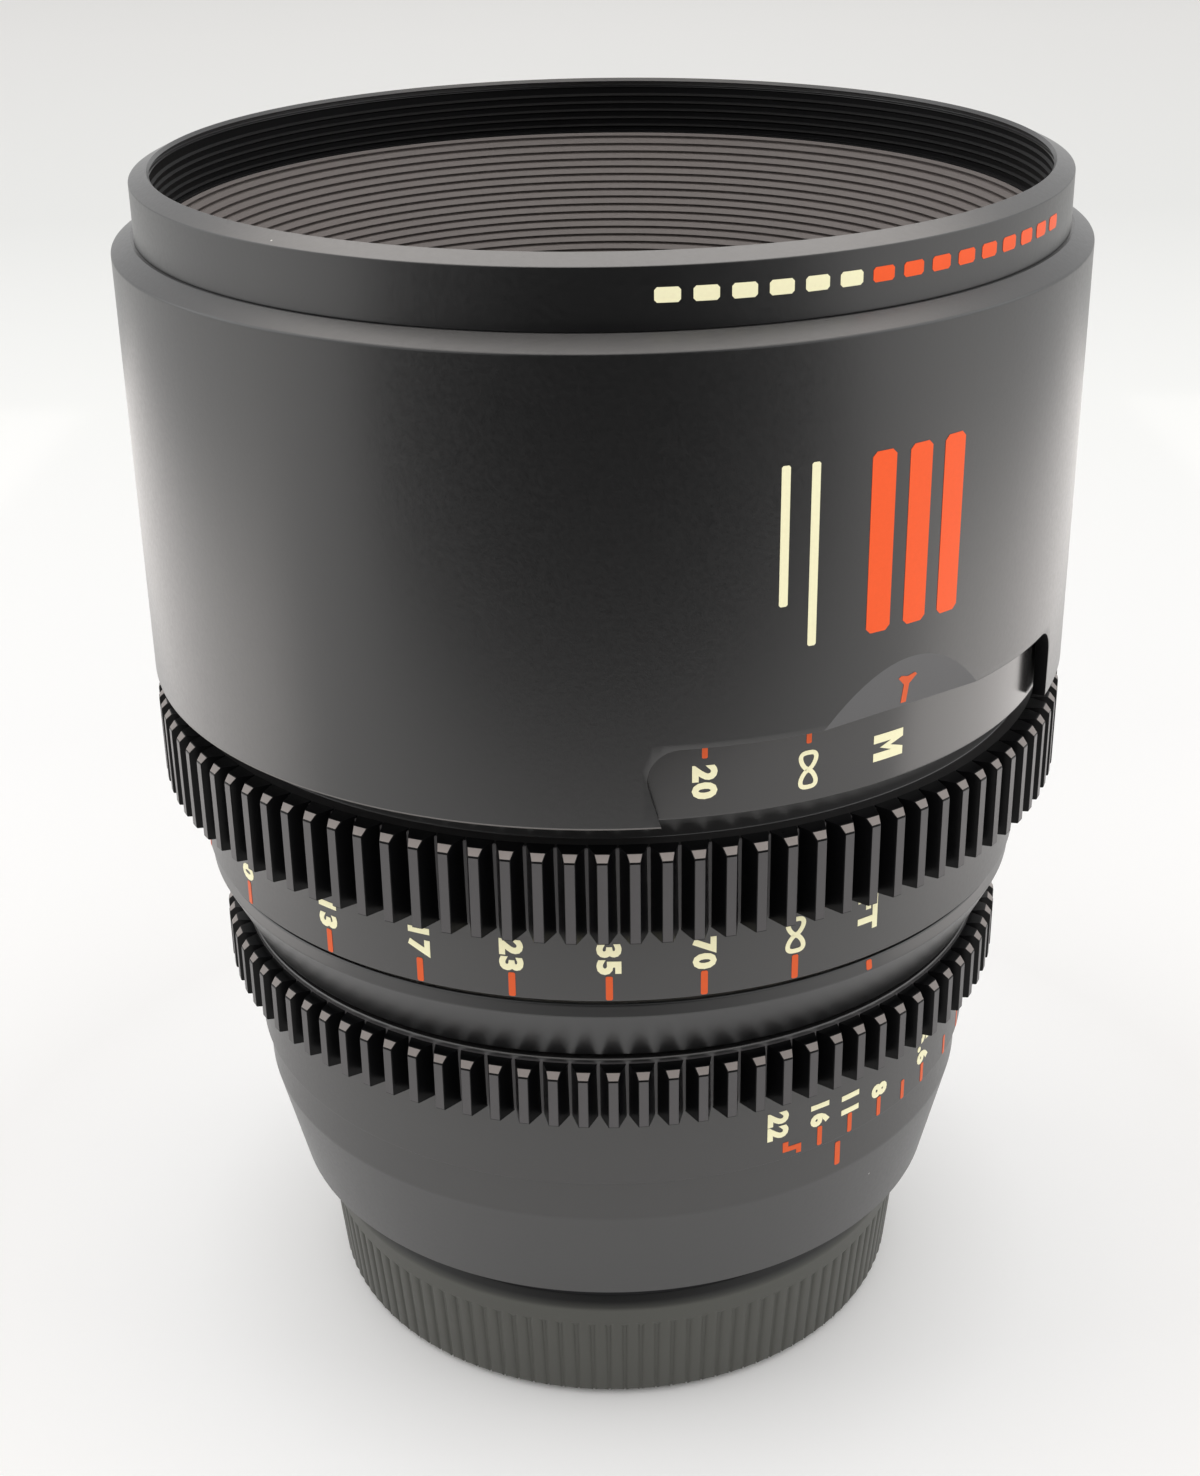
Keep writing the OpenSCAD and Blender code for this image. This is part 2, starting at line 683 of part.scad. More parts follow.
// Focus ring: distance scale, gear and the collar for the second scale
module focus_ring() {
    groove_deg = stop_groove_half();
    color("#262629")
    difference() {
        union() {
            turned([
                [focus_bore_r, focus_z], [focus_edge_r, focus_z], [focus_edge_r, focus_teeth_z],
                [focus_root_r, focus_teeth_z],
                [focus_root_r, focus_groove_z], [focus_collar_r, focus_groove_z + 0.3],
                [focus_collar_r, focus_top_z], [focus_bore_r, focus_top_z]]);
            difference() {
                gear_band(focus_teeth, focus_tip_r, focus_root_r - 0.2, focus_teeth_z, focus_groove_z);
                cylinder(r = focus_bore_r, h = 3*front_z, center = true);
            }
        }
        sector(stop_circle() - stop_pin_r - slot_gap, stop_circle() + stop_pin_r + slot_gap,
            focus_z - eps, focus_z + 1.9,
            stop_az() - focus_turn/2, focus_turn + 2*groove_deg);
        around(3, 0)
            radial_rod(ring_screw_r + seat_gap, focus_bore_r - 1, focus_collar_r + 1, ring_screw_z());
    }
}

function stop_groove_half() = (stop_pin_r + slot_gap)/stop_circle()*180/PI + 0.4;
function ring_screw_z() = focus_groove_z + 1.5;

// One helical groove of the cam sleeve, as a ribbon of straight steps
module cam_groove(start_az) {
    r0 = cam_in - 1;
    r1 = cam_in + cam_groove_depth;
    span = focus_turn + 2*groove_end_turn;
    rings = [for (i = [0 : groove_steps]) let (turn = span*i/groove_steps - groove_end_turn,
        a = start_az - 90 - turn, z = follower_z + focus_lead*turn/full_turn)
        for (c = [[r0, -1], [r1, -1], [r1, 1], [r0, 1]]) [c[0]*cos(a), c[0]*sin(a), z + c[1]*groove_half]];
    sides = [for (i = [0 : groove_steps - 1]) for (k = [0 : 3])
        let (b = 4*i, n = (k + 1) % 4)
        [b + k, b + 4 + k, b + 4 + n, b + n]];
    last = 4*groove_steps;
    polyhedron(points = rings, faces = concat(
        [for (s = sides) each [[s[0], s[1], s[2]], [s[0], s[2], s[3]]]],
        [[0, 1, 2], [0, 2, 3], [last, last + 2, last + 1], [last, last + 3, last + 2]]));
}

// Sleeve inside the focus ring; its grooves push the followers along the axis
module cam_sleeve() {
    color("#b9a46a")
    difference() {
        tube(cam_out, cam_in, cam_z, cam_top_z);
        for (i = [0 : cam_starts - 1]) cam_groove(follower_az + i*full_turn/cam_starts);
        around(3, 0) radial_rod(ring_screw_r + seat_gap, cam_out - 0.6, cam_out + 1, ring_screw_z());
    }
}

// Second distance scale, seen through the window of the front barrel
module distance_sleeve() {
    color("#262629")
    tube(scale_sleeve_r, focus_collar_r + seat_gap, barrel_z, focus_top_z);
}

// Grub screws that lock the focus ring to the cam sleeve
module focus_ring_screws() {
    color("#707074")
    around(3, 0) difference() {
        radial_rod(ring_screw_r, cam_out - 0.5, focus_collar_r - 0.1, ring_screw_z());
        translate([focus_collar_r - 0.6, 0, ring_screw_z()])
            rotate([0, 90, 0]) cylinder(r = 0.4, h = 1, $fn = 6);
    }
}

// Aperture ring: scale, gear and collar
module aperture_ring() {
    color("#262629")
    difference() {
        union() {
            turned([
                [aperture_bore_r, aperture_z], [aperture_edge_r, aperture_z],
                [aperture_edge_r, aperture_teeth_z], [aperture_root_r, aperture_teeth_z],
                [aperture_root_r, aperture_top_z - edge_break],
                [aperture_root_r - edge_break, aperture_top_z],
                [aperture_bore_r, aperture_top_z]]);
            difference() {
                gear_band(aperture_teeth, aperture_tip_r, aperture_root_r - 0.2, aperture_teeth_z,
                    aperture_collar_z);
                cylinder(r = aperture_bore_r, h = 3*front_z, center = true);
            }
        }
        at_az(drive_pin_az)
            radial_rod(drive_pin_r + seat_gap, aperture_bore_r - 1, drive_pin_end(), drive_pin_z());
    }
}

function drive_pin_end() = aperture_bore_r + 1;

// Pin through the main tube's arc slot into the fork of the iris drive
module aperture_drive_pin() {
    color("#a0a0a2")
    at_az(drive_pin_az) radial_rod(drive_pin_r, fork_in + 0.3, drive_pin_end() - 0.05, drive_pin_z());
}

// Barrel that carries all the glass and slides inside the main tube
module glass_carrier() {
    color("#34343a")
    difference() {
        turned([
            [chamber_r, carrier_z], [carrier_body_r, carrier_z], [carrier_body_r, carrier_guide_z],
            [carrier_guide_r, carrier_guide_z], [carrier_guide_r, carrier_guide_top],
            [carrier_neck_r, carrier_guide_top], [carrier_neck_r, carrier_top_z],
            [front_bore_r, carrier_top_z],
            [front_bore_r, front_bore_z], [inner_glass_r + run_gap, front_bore_z],
            [inner_glass_r + run_gap, glass_seat_z],
            [inner_glass_r - 1, glass_seat_z], [inner_glass_r - 1, chamber_z], [chamber_r, chamber_z]]);
        around(cam_starts, follower_az)
            radial_rod(follower_r - 0.3 + seat_gap, carrier_guide_r - 2.5, carrier_guide_r + 1, follower_z);
    }
}

// Three rollers on studs, one in each cam groove
module cam_followers() {
    color("#c9b27a")
    around(cam_starts, follower_az) {
        radial_rod(follower_r - 0.3, carrier_guide_r - 2.4, carrier_guide_r + 0.3, follower_z);
        radial_rod(follower_r, carrier_guide_r + 0.1, cam_in + cam_groove_depth - 0.15, follower_z);
    }
}

// Cell with the front glass, screwed into the carrier
module front_cell() {
    r_in = front_cell_r - front_cell_wall;
    color("#1d1d20")
    turned([
        [r_in - 2.4, front_cell_z], [front_cell_r, front_cell_z], [front_cell_r, front_cell_top],
        [r_in + 0.5, front_cell_top], [r_in, front_cell_top - 0.5], [r_in, front_cell_z + 2],
        [r_in - 2.4, front_cell_z + 2]]);
}

// Barrel behind the iris with the rear glass; the fork passes its arc slot
module rear_cell() {
    r_in = rear_glass_r + run_gap;
    flange_low = carrier_z - rear_group_flange_t;
    color("#34343a")
    difference() {
        turned([
            [r_in, rear_group_z], [rear_group_r, rear_group_z], [rear_group_r, tube_end_z + 1],
            [fork_in - 0.6, tube_end_z + 3], [fork_in - 0.6, flange_low], [carrier_body_r, flange_low],
            [carrier_body_r, carrier_z], [r_in, carrier_z]]);
        sector(fork_in - 0.3, fork_out + 0.3, flange_low - eps, carrier_z + eps,
            drive_pin_az + (aperture_shut_turn - aperture_open_turn)/2, aperture_turn + fork_arc + 2);
    }
}

// Fixed plate with the holes that the blades turn in
module iris_plate() {
    color("#5a5a5e")
    difference() {
        tube(chamber_r - seat_gap, inner_glass_r - 1, iris_plate_z, chamber_z);
        for (i = [1 : blade_count])
            at_az(blade_az(i))
                upright_rod(pivot_r + run_gap, pivot_circle, iris_plate_z - eps, chamber_z - 0.6);
    }
}

function blade_az(i) = (i - 1)*full_turn/blade_count;
function polar(r, a) = r*[cos(a), sin(a)];
function cam_pin_at(swing) = [pivot_circle, 0] + polar(blade_arm, pin_angle + swing);
function turn_point(p, a) = [p[0]*cos(a) - p[1]*sin(a), p[0]*sin(a) + p[1]*cos(a)];

// Outline of a blade in its widest position, for a pivot on the X axis
module blade_outline() {
    r_out = iris_open_r + blade_w;
    n = 24;
    polygon(concat(
        [for (i = [0 : n]) polar(iris_open_r, -6 + (blade_arc + 6)*i/n)],
        [for (i = [n : -1 : 0]) polar(r_out, -6 + (blade_arc + 6)*i/n)]));
    translate([pivot_circle, 0]) circle(r = pivot_r + 0.9);
    polygon([[r_out - 2, -1.4], [pivot_circle, -1.4], [pivot_circle, 1.4], [r_out - 2, 1.4]]);
    translate([pivot_circle, 0]) rotate(pin_angle) translate([0, -0.8]) square([blade_arm, 1.6]);
    translate(cam_pin_at(0)) circle(r = 0.8);
}

// One blade: its leaf, the pivot pin in front and the cam pin behind
module iris_blade(i) {
    z = blade_z + (i - 1)*blade_level;
    color("#4a4a50")
    at_az(blade_az(i))
        translate([pivot_circle, 0, 0]) rotate([0, 0, blade_rest]) translate([-pivot_circle, 0, 0]) {
            translate([0, 0, z]) linear_extrude(blade_t) blade_outline();
            upright_rod(pivot_r, pivot_circle, z, chamber_z - 0.9);
            translate([cam_pin_at(0)[0], cam_pin_at(0)[1], cam_ring_z + 0.2])
                cylinder(r = cam_pin_r, h = z + blade_t - cam_ring_z - 0.2);
        }
}

// Path of one cam pin on the drive ring, and a slot of even width along it
function cam_path(t) = turn_point(cam_pin_at(blade_ratio*(t + aperture_open_turn)), -t);
function cam_step(j) = -aperture_open_turn - 1.5 + (aperture_turn + 3)*j/slot_steps;
function cam_side(j, side) = let (
    p = cam_path(cam_step(j)),
    d = cam_path(cam_step(j) + 0.5) - cam_path(cam_step(j) - 0.5),
    w = cam_pin_r + slot_gap)
    p + side*w*[-d[1], d[0]]/norm(d);

// Ring that swings all the blades at once, with the fork for the drive pin
module iris_drive_ring() {
    color("#6a6458")
    difference() {
        union() {
            tube(cam_ring_r, cam_ring_in, cam_ring_z, cam_ring_z + cam_ring_t);
            sector(fork_in, fork_out, fork_z, cam_ring_z + 0.2, drive_pin_az, fork_arc);
        }
        for (i = [1 : blade_count]) at_az(blade_az(i))
            translate([0, 0, cam_ring_z - eps]) linear_extrude(cam_ring_t + 2*eps) polygon(concat(
                [for (j = [0 : slot_steps]) cam_side(j, 1)],
                [for (j = [slot_steps : -1 : 0]) cam_side(j, -1)]));
        at_az(drive_pin_az) translate([fork_in - 1, -drive_pin_r - run_gap, fork_z - eps])
            cube([fork_out - fork_in + 2, 2*(drive_pin_r + run_gap),
                drive_pin_z() + drive_pin_r + 0.4 - fork_z + eps]);
    }
}

// A round element: vertex heights and radii of curvature, convex outwards where positive, 0 for flat
function sag(r, curve) = curve == 0 ? 0 : abs(curve) - sqrt(curve*curve - r*r);
function front_edge(r, z, curve) = curve < 0 ? z + sag(r, curve) : z - sag(r, curve);
function rear_edge(r, z, curve) = curve < 0 ? z - sag(r, curve) : z + sag(r, curve);
module element(r, front_v, front_curve, rear_v, rear_curve) {
    high = max(front_v, front_edge(r, front_v, front_curve));
    low = min(rear_v, rear_edge(r, rear_v, rear_curve));
    difference() {
        intersection() {
            translate([0, 0, low]) cylinder(r = r, h = high - low);
            if (front_curve > 0)
                translate([0, 0, front_v - front_curve]) sphere(r = front_curve, $fn = dome_fn);
            if (rear_curve > 0)
                translate([0, 0, rear_v + rear_curve]) sphere(r = rear_curve, $fn = dome_fn);
        }
        if (front_curve < 0)
            translate([0, 0, front_v - front_curve]) sphere(r = -front_curve, $fn = dome_fn);
        if (rear_curve < 0) translate([0, 0, rear_v + rear_curve]) sphere(r = -rear_curve, $fn = dome_fn);
    }
}

// Curves of the glass, from the front
curve_1 = [52, -120];
curve_2 = [45, 200];
curve_3 = [-200, -60];
curve_4 = [60, 0];
curve_5 = [-45, -60];
curve_6 = [60, 55];
curve_7 = [70, 90];
curve_8 = [-100, 120];

// Vertex heights of the front glass, counted from the front cell's lip
lens_3_rear = front_cell_z + 2 + sag(front_glass_r, curve_3[1]) + 0.02;
thin_glass = 2;
lens_1_t = 6.5;
lens_2_t = 8.7;
lens_1_gap = 1.3;
lens_3_front = lens_3_rear + thin_glass;
lens_2_front = lens_3_front + lens_2_t;
lens_1_rear = lens_2_front + lens_1_gap;
lens_1_front = lens_1_rear + lens_1_t;
lens_4_t = 6.5;
lens_4_front = glass_seat_z + lens_4_t;

// Vertex heights of the rear glass, counted from the rear cell's front face
rear_glass_drop = 4.3;
lens_6_t = 8;
lens_7_t = 5;
lens_8_t = 3.4;
rear_glass_gap = 0.3;
lens_5_front = carrier_z - rear_glass_drop;
lens_5_rear = lens_5_front - thin_glass;
lens_6_rear = lens_5_rear - lens_6_t;
lens_7_front = lens_6_rear - rear_glass_gap;
lens_7_rear = lens_7_front - lens_7_t;
lens_8_front = lens_7_rear - rear_glass_gap;
lens_8_rear = lens_8_front - lens_8_t;

module lens_1() {
    color("#7d93a8", 0.5) element(front_glass_r, lens_1_front, curve_1[0], lens_1_rear, curve_1[1]);
}

module lens_2() {
    color("#7d93a8", 0.5) element(front_glass_r, lens_2_front, curve_2[0], lens_3_front + 0.02, curve_2[1]);
}

module lens_3() {
    color("#7d93a8", 0.5) element(front_glass_r, lens_3_front, curve_3[0], lens_3_rear, curve_3[1]);
}

module lens_4() {
    color("#7d93a8", 0.5) element(inner_glass_r, lens_4_front, curve_4[0], glass_seat_z + 0.02, curve_4[1]);
}

module lens_5() {
    color("#7d93a8", 0.5) element(rear_glass_r, lens_5_front, curve_5[0], lens_5_rear, curve_5[1]);
}

module lens_6() {
    color("#7d93a8", 0.5) element(rear_glass_r, lens_5_rear - 0.02, curve_6[0], lens_6_rear, curve_6[1]);
}

module lens_7() {
    color("#7d93a8", 0.5) element(rear_glass_r, lens_7_front, curve_7[0], lens_7_rear, curve_7[1]);
}

module lens_8() {
    color("#7d93a8", 0.5) element(rear_glass_r, lens_8_front, curve_8[0], lens_8_rear, curve_8[1]);
}

// Retaining rings and spacers touch the glass at their own inner edge
ring_wall = 1.3;
front_ring_in = front_glass_r - ring_wall;
inner_ring_in = inner_glass_r - ring_wall;
rear_ring_in = rear_glass_r - ring_wall;
touch = 0.02;
front_retainer_h = 2.4;
inner_retainer_h = 1.8;
rear_retainer_h = 1.4;

// Ring in front of the first element
module front_retaining_ring() {
    edge_z = front_edge(front_ring_in, lens_1_front, curve_1[0]) + touch;
    color("#1d1d20")
    tube(front_glass_r, front_ring_in, edge_z, edge_z + front_retainer_h);
}

// Ring between the first two elements
module front_spacer() {
    color("#1d1d20")
    tube(front_glass_r, front_ring_in,
        front_edge(front_ring_in, lens_2_front, curve_2[0]) + touch,
        rear_edge(front_glass_r, lens_1_rear, curve_1[1]) - touch);
}

// Ring in front of the element at the iris
module inner_retaining_ring() {
    edge_z = front_edge(inner_ring_in, lens_4_front, curve_4[0]) + touch;
    color("#1d1d20")
    tube(inner_glass_r, inner_ring_in, edge_z, edge_z + inner_retainer_h);
}

// Ring between the rear pair and the last two elements
module rear_spacer() {
    color("#1d1d20")
    tube(rear_glass_r, rear_ring_in,
        front_edge(rear_ring_in, lens_7_front, curve_7[0]) + touch,
        rear_edge(rear_ring_in, lens_6_rear, curve_6[1]) - touch);
}

// Ring behind the last element
module rear_retaining_ring() {
    edge_z = rear_edge(rear_ring_in, lens_8_rear, curve_8[1]) - touch;
    color("#1d1d20")
    tube(rear_glass_r, rear_ring_in, edge_z - rear_retainer_h, edge_z);
}

// Push-on cap with an inner collar; its lugs stand in the bayonet's gaps
module rear_cap() {
    collar_in = throat_r + lug_out + 0.5;
    lug_z = flange_z - throat_h + 0.5 + lug_t + 0.3;
    inner_r = cap_bottom_r - cap_wall;
    top_z = flange_z - 0.05;
    color("#3b3e3b")
    union() {
        turned([
            [0, 0], [cap_bottom_r - cap_edge, 0], [cap_bottom_r, cap_edge], [cap_top_r, top_z - cap_bevel_h],
            [cap_top_r - cap_bevel_w, top_z], [inner_r, top_z], [inner_r, cap_wall], [0, cap_wall]]);
        tube(collar_in + 1.3, collar_in, cap_wall - 0.2, flange_z - 0.1);
        for (i = [0 : 2])
            sector(throat_r + 0.2, collar_in + 0.3, lug_z, flange_z - 0.6, 60 + 120*i, lug_arc);
    }
}

front_ring();
front_baffle();
front_barrel();
barrel_screws();
main_tube();
middle_barrel();
rear_barrel();
flange_shim();
mount_flange();
mount_screws();
rear_light_baffle();
focus_stop_pin();
focus_glide_ring();
aperture_glide_ring();
focus_ring();
cam_sleeve();
distance_sleeve();
focus_ring_screws();
aperture_ring();
aperture_drive_pin();
glass_carrier();
front_cell();
rear_cell();
cam_followers();
iris_plate();
front_retaining_ring();
front_spacer();
inner_retaining_ring();
rear_spacer();
rear_retaining_ring();
lens_1();
lens_2();
lens_3();
lens_4();
lens_5();
lens_6();
lens_7();
lens_8();
iris_drive_ring();
rear_cap();
for (i = [1 : blade_count])
    iris_blade(i);
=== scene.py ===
# %% [markdown]
# # A cinema prime lens
# The lens stands on its rear cap. Its moving parts come from the CAD frame: two geared rings, the
# sliding glass, the iris blades and the cap. This file dresses that frame with finer meshes and finishes.
# Every size is in millimetres, and one scale turns it into Blender's metres.

# %% Load the frame
import json
import math

import bmesh
import bpy
from mathutils import Matrix, Vector


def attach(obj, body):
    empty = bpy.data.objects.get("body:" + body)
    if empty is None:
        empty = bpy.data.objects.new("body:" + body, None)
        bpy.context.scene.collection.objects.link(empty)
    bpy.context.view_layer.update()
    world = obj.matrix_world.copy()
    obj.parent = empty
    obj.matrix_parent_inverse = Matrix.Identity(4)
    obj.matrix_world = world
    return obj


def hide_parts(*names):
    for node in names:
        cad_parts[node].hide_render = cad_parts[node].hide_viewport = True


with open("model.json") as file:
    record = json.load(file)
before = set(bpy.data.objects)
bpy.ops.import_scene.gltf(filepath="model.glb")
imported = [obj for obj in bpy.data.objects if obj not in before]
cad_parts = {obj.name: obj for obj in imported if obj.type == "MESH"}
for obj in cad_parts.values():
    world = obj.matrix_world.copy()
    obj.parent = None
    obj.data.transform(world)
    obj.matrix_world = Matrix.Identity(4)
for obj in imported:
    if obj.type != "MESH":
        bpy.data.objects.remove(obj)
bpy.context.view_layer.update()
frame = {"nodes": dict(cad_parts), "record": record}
MM = 0.001
nodes = frame["nodes"]

# %% [markdown]
# ## The camera
# The photograph looks down on the lens at about 25 degrees. The camera's place, pitch, yaw and roll were
# solved from the ellipses of the rings, so a point of the frame lands on its own pixel.

# %% Camera
CAMERA_PLACE = Vector((0, -191.42, 147.58)) * MM
PITCH, YAW, ROLL = (math.radians(a) for a in (25.477, -0.254, -0.871))
FOCAL_PX = 2190.2
IMAGE_H = 1476
SENSOR = 36

ahead = Vector((math.sin(YAW)*math.cos(PITCH), math.cos(YAW)*math.cos(PITCH), -math.sin(PITCH)))
level = Vector((math.cos(YAW), -math.sin(YAW), 0))
above = level.cross(ahead)
right = math.cos(ROLL)*level + math.sin(ROLL)*above
up = math.cos(ROLL)*above - math.sin(ROLL)*level

camera_data = bpy.data.cameras.new("camera")
camera_data.sensor_width = SENSOR
camera_data.lens = SENSOR*FOCAL_PX/IMAGE_H
camera_data.clip_start = 0.01
camera = bpy.data.objects.new("camera", camera_data)
camera.matrix_world = Matrix((right, up, -ahead)).transposed().to_4x4()
camera.location = CAMERA_PLACE
link = bpy.context.scene.collection.objects.link
link(camera)
bpy.context.scene.camera = camera
print("camera: lens", round(camera_data.lens, 2), "mm")

# %% [markdown]
# ## Writing shader sums in Python
# A material is a graph of nodes. A small class wraps one output socket, so that `1 - mask` or `a*b` adds
# the Math node that it needs. Every other kind of node comes from its one method, `node`.


# %% Shader wires
class Wire:
    """One output socket of a shader tree, ready for Python sums."""

    def __init__(self, tree, socket=None):
        self.tree = tree
        self.socket = socket

    def node(self, kind, settings=None, values=None, out=0):
        made = self.tree.nodes.new("ShaderNode" + kind)
        for name, value in (settings or {}).items():
            if name == "stops":
                while len(made.color_ramp.elements) < len(value):
                    made.color_ramp.elements.new(1)
                for stop, (place, colour) in zip(made.color_ramp.elements, value):
                    stop.position = place
                    stop.color = colour
            else:
                setattr(made, name, value)
        for name, value in (values or {}).items():
            sockets = [s for s in made.inputs if name in (s.identifier, s.name)]
            if isinstance(value, Wire):
                self.tree.links.new(value.socket, sockets[0])
            else:
                sockets[0].default_value = value
        found = [s for s in made.outputs if out in (s.identifier, s.name)]
        return Wire(self.tree, found[0] if found else made.outputs[0])

    def sum(self, operation, first, second):
        return self.node("Math", {"operation": operation}, {"Value": first, "Value_001": second})

    def __add__(self, other):
        return self.sum("ADD", self, other)

    __radd__ = __add__

    def __sub__(self, other):
        return self.sum("SUBTRACT", self, other)

    def __rsub__(self, other):
        return self.sum("SUBTRACT", other, self)

    def __mul__(self, other):
        return self.sum("MULTIPLY", self, other)

    __rmul__ = __mul__

    def above(self, level):
        return self.sum("GREATER_THAN", self, level)


print("shader wires ready")

# %% [markdown]
# ## Starting a finish
# Colours are read as sRGB values, while shaders count light, so one helper turns the first into the second.
# Every finish starts from one Principled shader, which covers metal, paint and glass alike.


# %% Finish helpers
def srgb(red, green, blue):
    """Linear colour of an sRGB value from 0 to 255."""
    parts = []
    for value in (red, green, blue):
        share = value/255
        parts.append(share/12.92 if share <= 0.04045 else ((share + 0.055)/1.055)**2.4)
    return (*parts, 1.0)


FINISHES = {}


def new_finish(name, constants):
    """Material with one Principled shader, that shader, and its Object coordinates."""
    material = bpy.data.materials.new(name)
    FINISHES[name] = material
    material.use_nodes = True
    shader = material.node_tree.nodes["Principled BSDF"]
    for socket, value in constants.items():
        shader.inputs[socket].default_value = value
    return material, shader, Wire(material.node_tree).node("TexCoord", out="Object")


def feed(shader, socket, wire):
    wire.tree.links.new(wire.socket, shader.inputs[socket])


def mixed(factor, first, second):
    return factor.node("Mix", {"data_type": "RGBA"},
                       {"Factor_Float": factor, "A_Color": first, "B_Color": second}, "Result_Color")


def noise(place, scale, detail=2.0):
    return place.node("TexNoise", None, {"Vector": place, "Scale": scale, "Detail": detail}, "Fac")


print("finish helpers ready")

# %% [markdown]
# ## Finishes of the metal
# Anodised aluminium is black with a very fine bead-blasted grain. It could be one flat colour, but then the
# highlights look like plastic film. Here a fine noise moves the roughness and a bump, a wide noise shifts
# the tone a little, and a sparse Voronoi pattern leaves a few specks of dust, as on a lens that is used.


# %% Grained metal
WIDE_SCALE, DUST_SCALE, DUST_SIZE = 45.0, 210.0, 0.02
GRAIN_DEPTH = 0.00004
# The first tone is for specks of dust; the second is the near black of a band of painted shade.
DUST_TONE, PAINTED_SHADE_TONE = srgb(200, 198, 192), srgb(9, 9, 8)


def grained(name, colour, rough, grain=2600, relief=0.12, metal=0.0, dust=0.0, spread=0.05, specular=0.5,
            shade_band=None):
    """Fine-grained finish on Object coordinates; a shade band is two heights between which the tone
    darkens, a painted shade.
    """
    material, shader, place = new_finish(name, {"Metallic": metal, "Specular IOR Level": specular})
    fine = noise(place, grain)
    wide = noise(place, WIDE_SCALE, 3.0)
    lighter = tuple(min(1.0, c*1.3 + 0.002) for c in colour[:3]) + (1.0,)
    tone = mixed(0.65*wide + 0.35*fine, colour, lighter)
    if dust:
        spots = {"Vector": place, "Scale": DUST_SCALE}
        cells = place.node("TexVoronoi", None, spots)
        pick = place.node("TexVoronoi", None, spots, "Color")
        keep = place.node("SeparateColor", None, {"Color": pick}, "Red").above(1 - dust)
        speck = (1 - cells.above(DUST_SIZE))*keep
        tone = mixed(0.7*speck, tone, DUST_TONE)
    # A band between two heights is darkened towards the near black: painted shade.
    if shade_band:
        height = place.node("SeparateXYZ", None, {"Vector": place}, "Z")
        painted_shade = place.node("MapRange", None, {
            "Value": height, "From Min": shade_band[0]*MM, "From Max": shade_band[1]*MM}, "Result")
        tone = mixed(painted_shade, tone, PAINTED_SHADE_TONE)
    feed(shader, "Base Color", tone)
    feed(shader, "Roughness", rough - spread + 2*spread*fine)
    bump = {"Strength": relief, "Distance": GRAIN_DEPTH, "Height": fine}
    feed(shader, "Normal", place.node("Bump", None, bump, "Normal"))
    return material


print("grain ready")

# %% Metal finishes
anodised = grained("black_anodised", srgb(13, 13, 14), 0.33, dust=0.11, specular=0.9)
# The deeper black of the tooth flanks, with weak reflection, is painted shade.
gear_black = grained("gear_black", srgb(6, 6, 7), 0.3, relief=0.04, dust=0.3, specular=0.15)
# The next two are paler copies of the black: painted light on the lands and floors of the gears, and a
# painted highlight on the tooth bevels.
land_painted_light = grained("land_painted_light", srgb(67, 65, 66), 0.42, relief=0.04)
bevel_painted_highlight = grained("bevel_painted_highlight", srgb(124, 116, 112), 0.4, relief=0.05)
# A paler copy of the black for the broken barrel edges: painted highlight.
edge_painted_highlight = grained("edge_painted_highlight", srgb(92, 89, 87), 0.4, relief=0.05)
rear_black = grained("rear_anodised", srgb(31, 30, 30), 0.36, dust=0.03, specular=0.95)
# A paler copy of the black for the index flat: its paler tone is painted light, and its grain is finer.
facet_painted_light = grained("facet_painted_light", srgb(52, 52, 54), 0.36, relief=0.06, specular=0.9)
satin_black = grained("satin_black", srgb(12, 12, 13), 0.3, relief=0.0, spread=0.02, specular=0.9)
sleeve_black = grained("sleeve_black", srgb(31, 30, 30), 0.21, relief=0.03, spread=0.02, specular=0.85)
# The darkest black, with weak reflection, for the thread, the inside of the mouth and the window's walls:
# painted shade.
recess_shade_black = grained("recess_shade_black", srgb(6, 6, 7), 0.5, relief=0.04, specular=0.11)
grained("matte_black", srgb(20, 20, 21), 0.62)
grained("bare_aluminium", srgb(165, 166, 170), 0.34, metal=1.0)
grained("mount_metal", srgb(34, 34, 35), 0.34, metal=1.0)
grained("steel", srgb(150, 150, 154), 0.28, metal=1.0)
grained("brass", srgb(196, 160, 92), 0.30, metal=1.0)
grained("blade_steel", srgb(58, 58, 66), 0.36, metal=1.0)
print("metal finishes made")

# %% [markdown]
# ## Finishes of plastic, paint and glass
# The cap is moulded plastic with a soft sheen and a slight green cast. The ridged cone inside the front is
# painted matte, and its wide tone varies as sprayed paint does. The marks are filled with enamel. Coated
# glass is clear with a thin coloured reflection, which the coat's tint gives.

# %% Plastic, paint and glass
# The cap's tone darkens towards its top edge, from 11.2 to 11.9 mm high: painted shade under the overhang
# of the rear barrel.
cap_plastic = grained("cap_plastic", srgb(67, 67, 62), 0.52, grain=1700, relief=0.2, dust=0.02,
                      shade_band=(11.2, 11.9))
grained("white_plastic", srgb(214, 210, 200), 0.45)
grained("black_plastic", srgb(30, 30, 31), 0.5)
baffle_paint = grained("baffle_paint", srgb(92, 85, 82), 0.6, grain=2200, relief=0.15, spread=0.06)
ENAMEL = {"rough": 0.42, "grain": 3200, "relief": 0.05, "specular": 0.2}
cream_enamel = grained("cream_enamel", srgb(236, 226, 188), **ENAMEL)
orange_enamel = grained("orange_enamel", srgb(234, 86, 36), **ENAMEL)
tick_enamel = grained("tick_enamel", srgb(206, 86, 42), **ENAMEL)


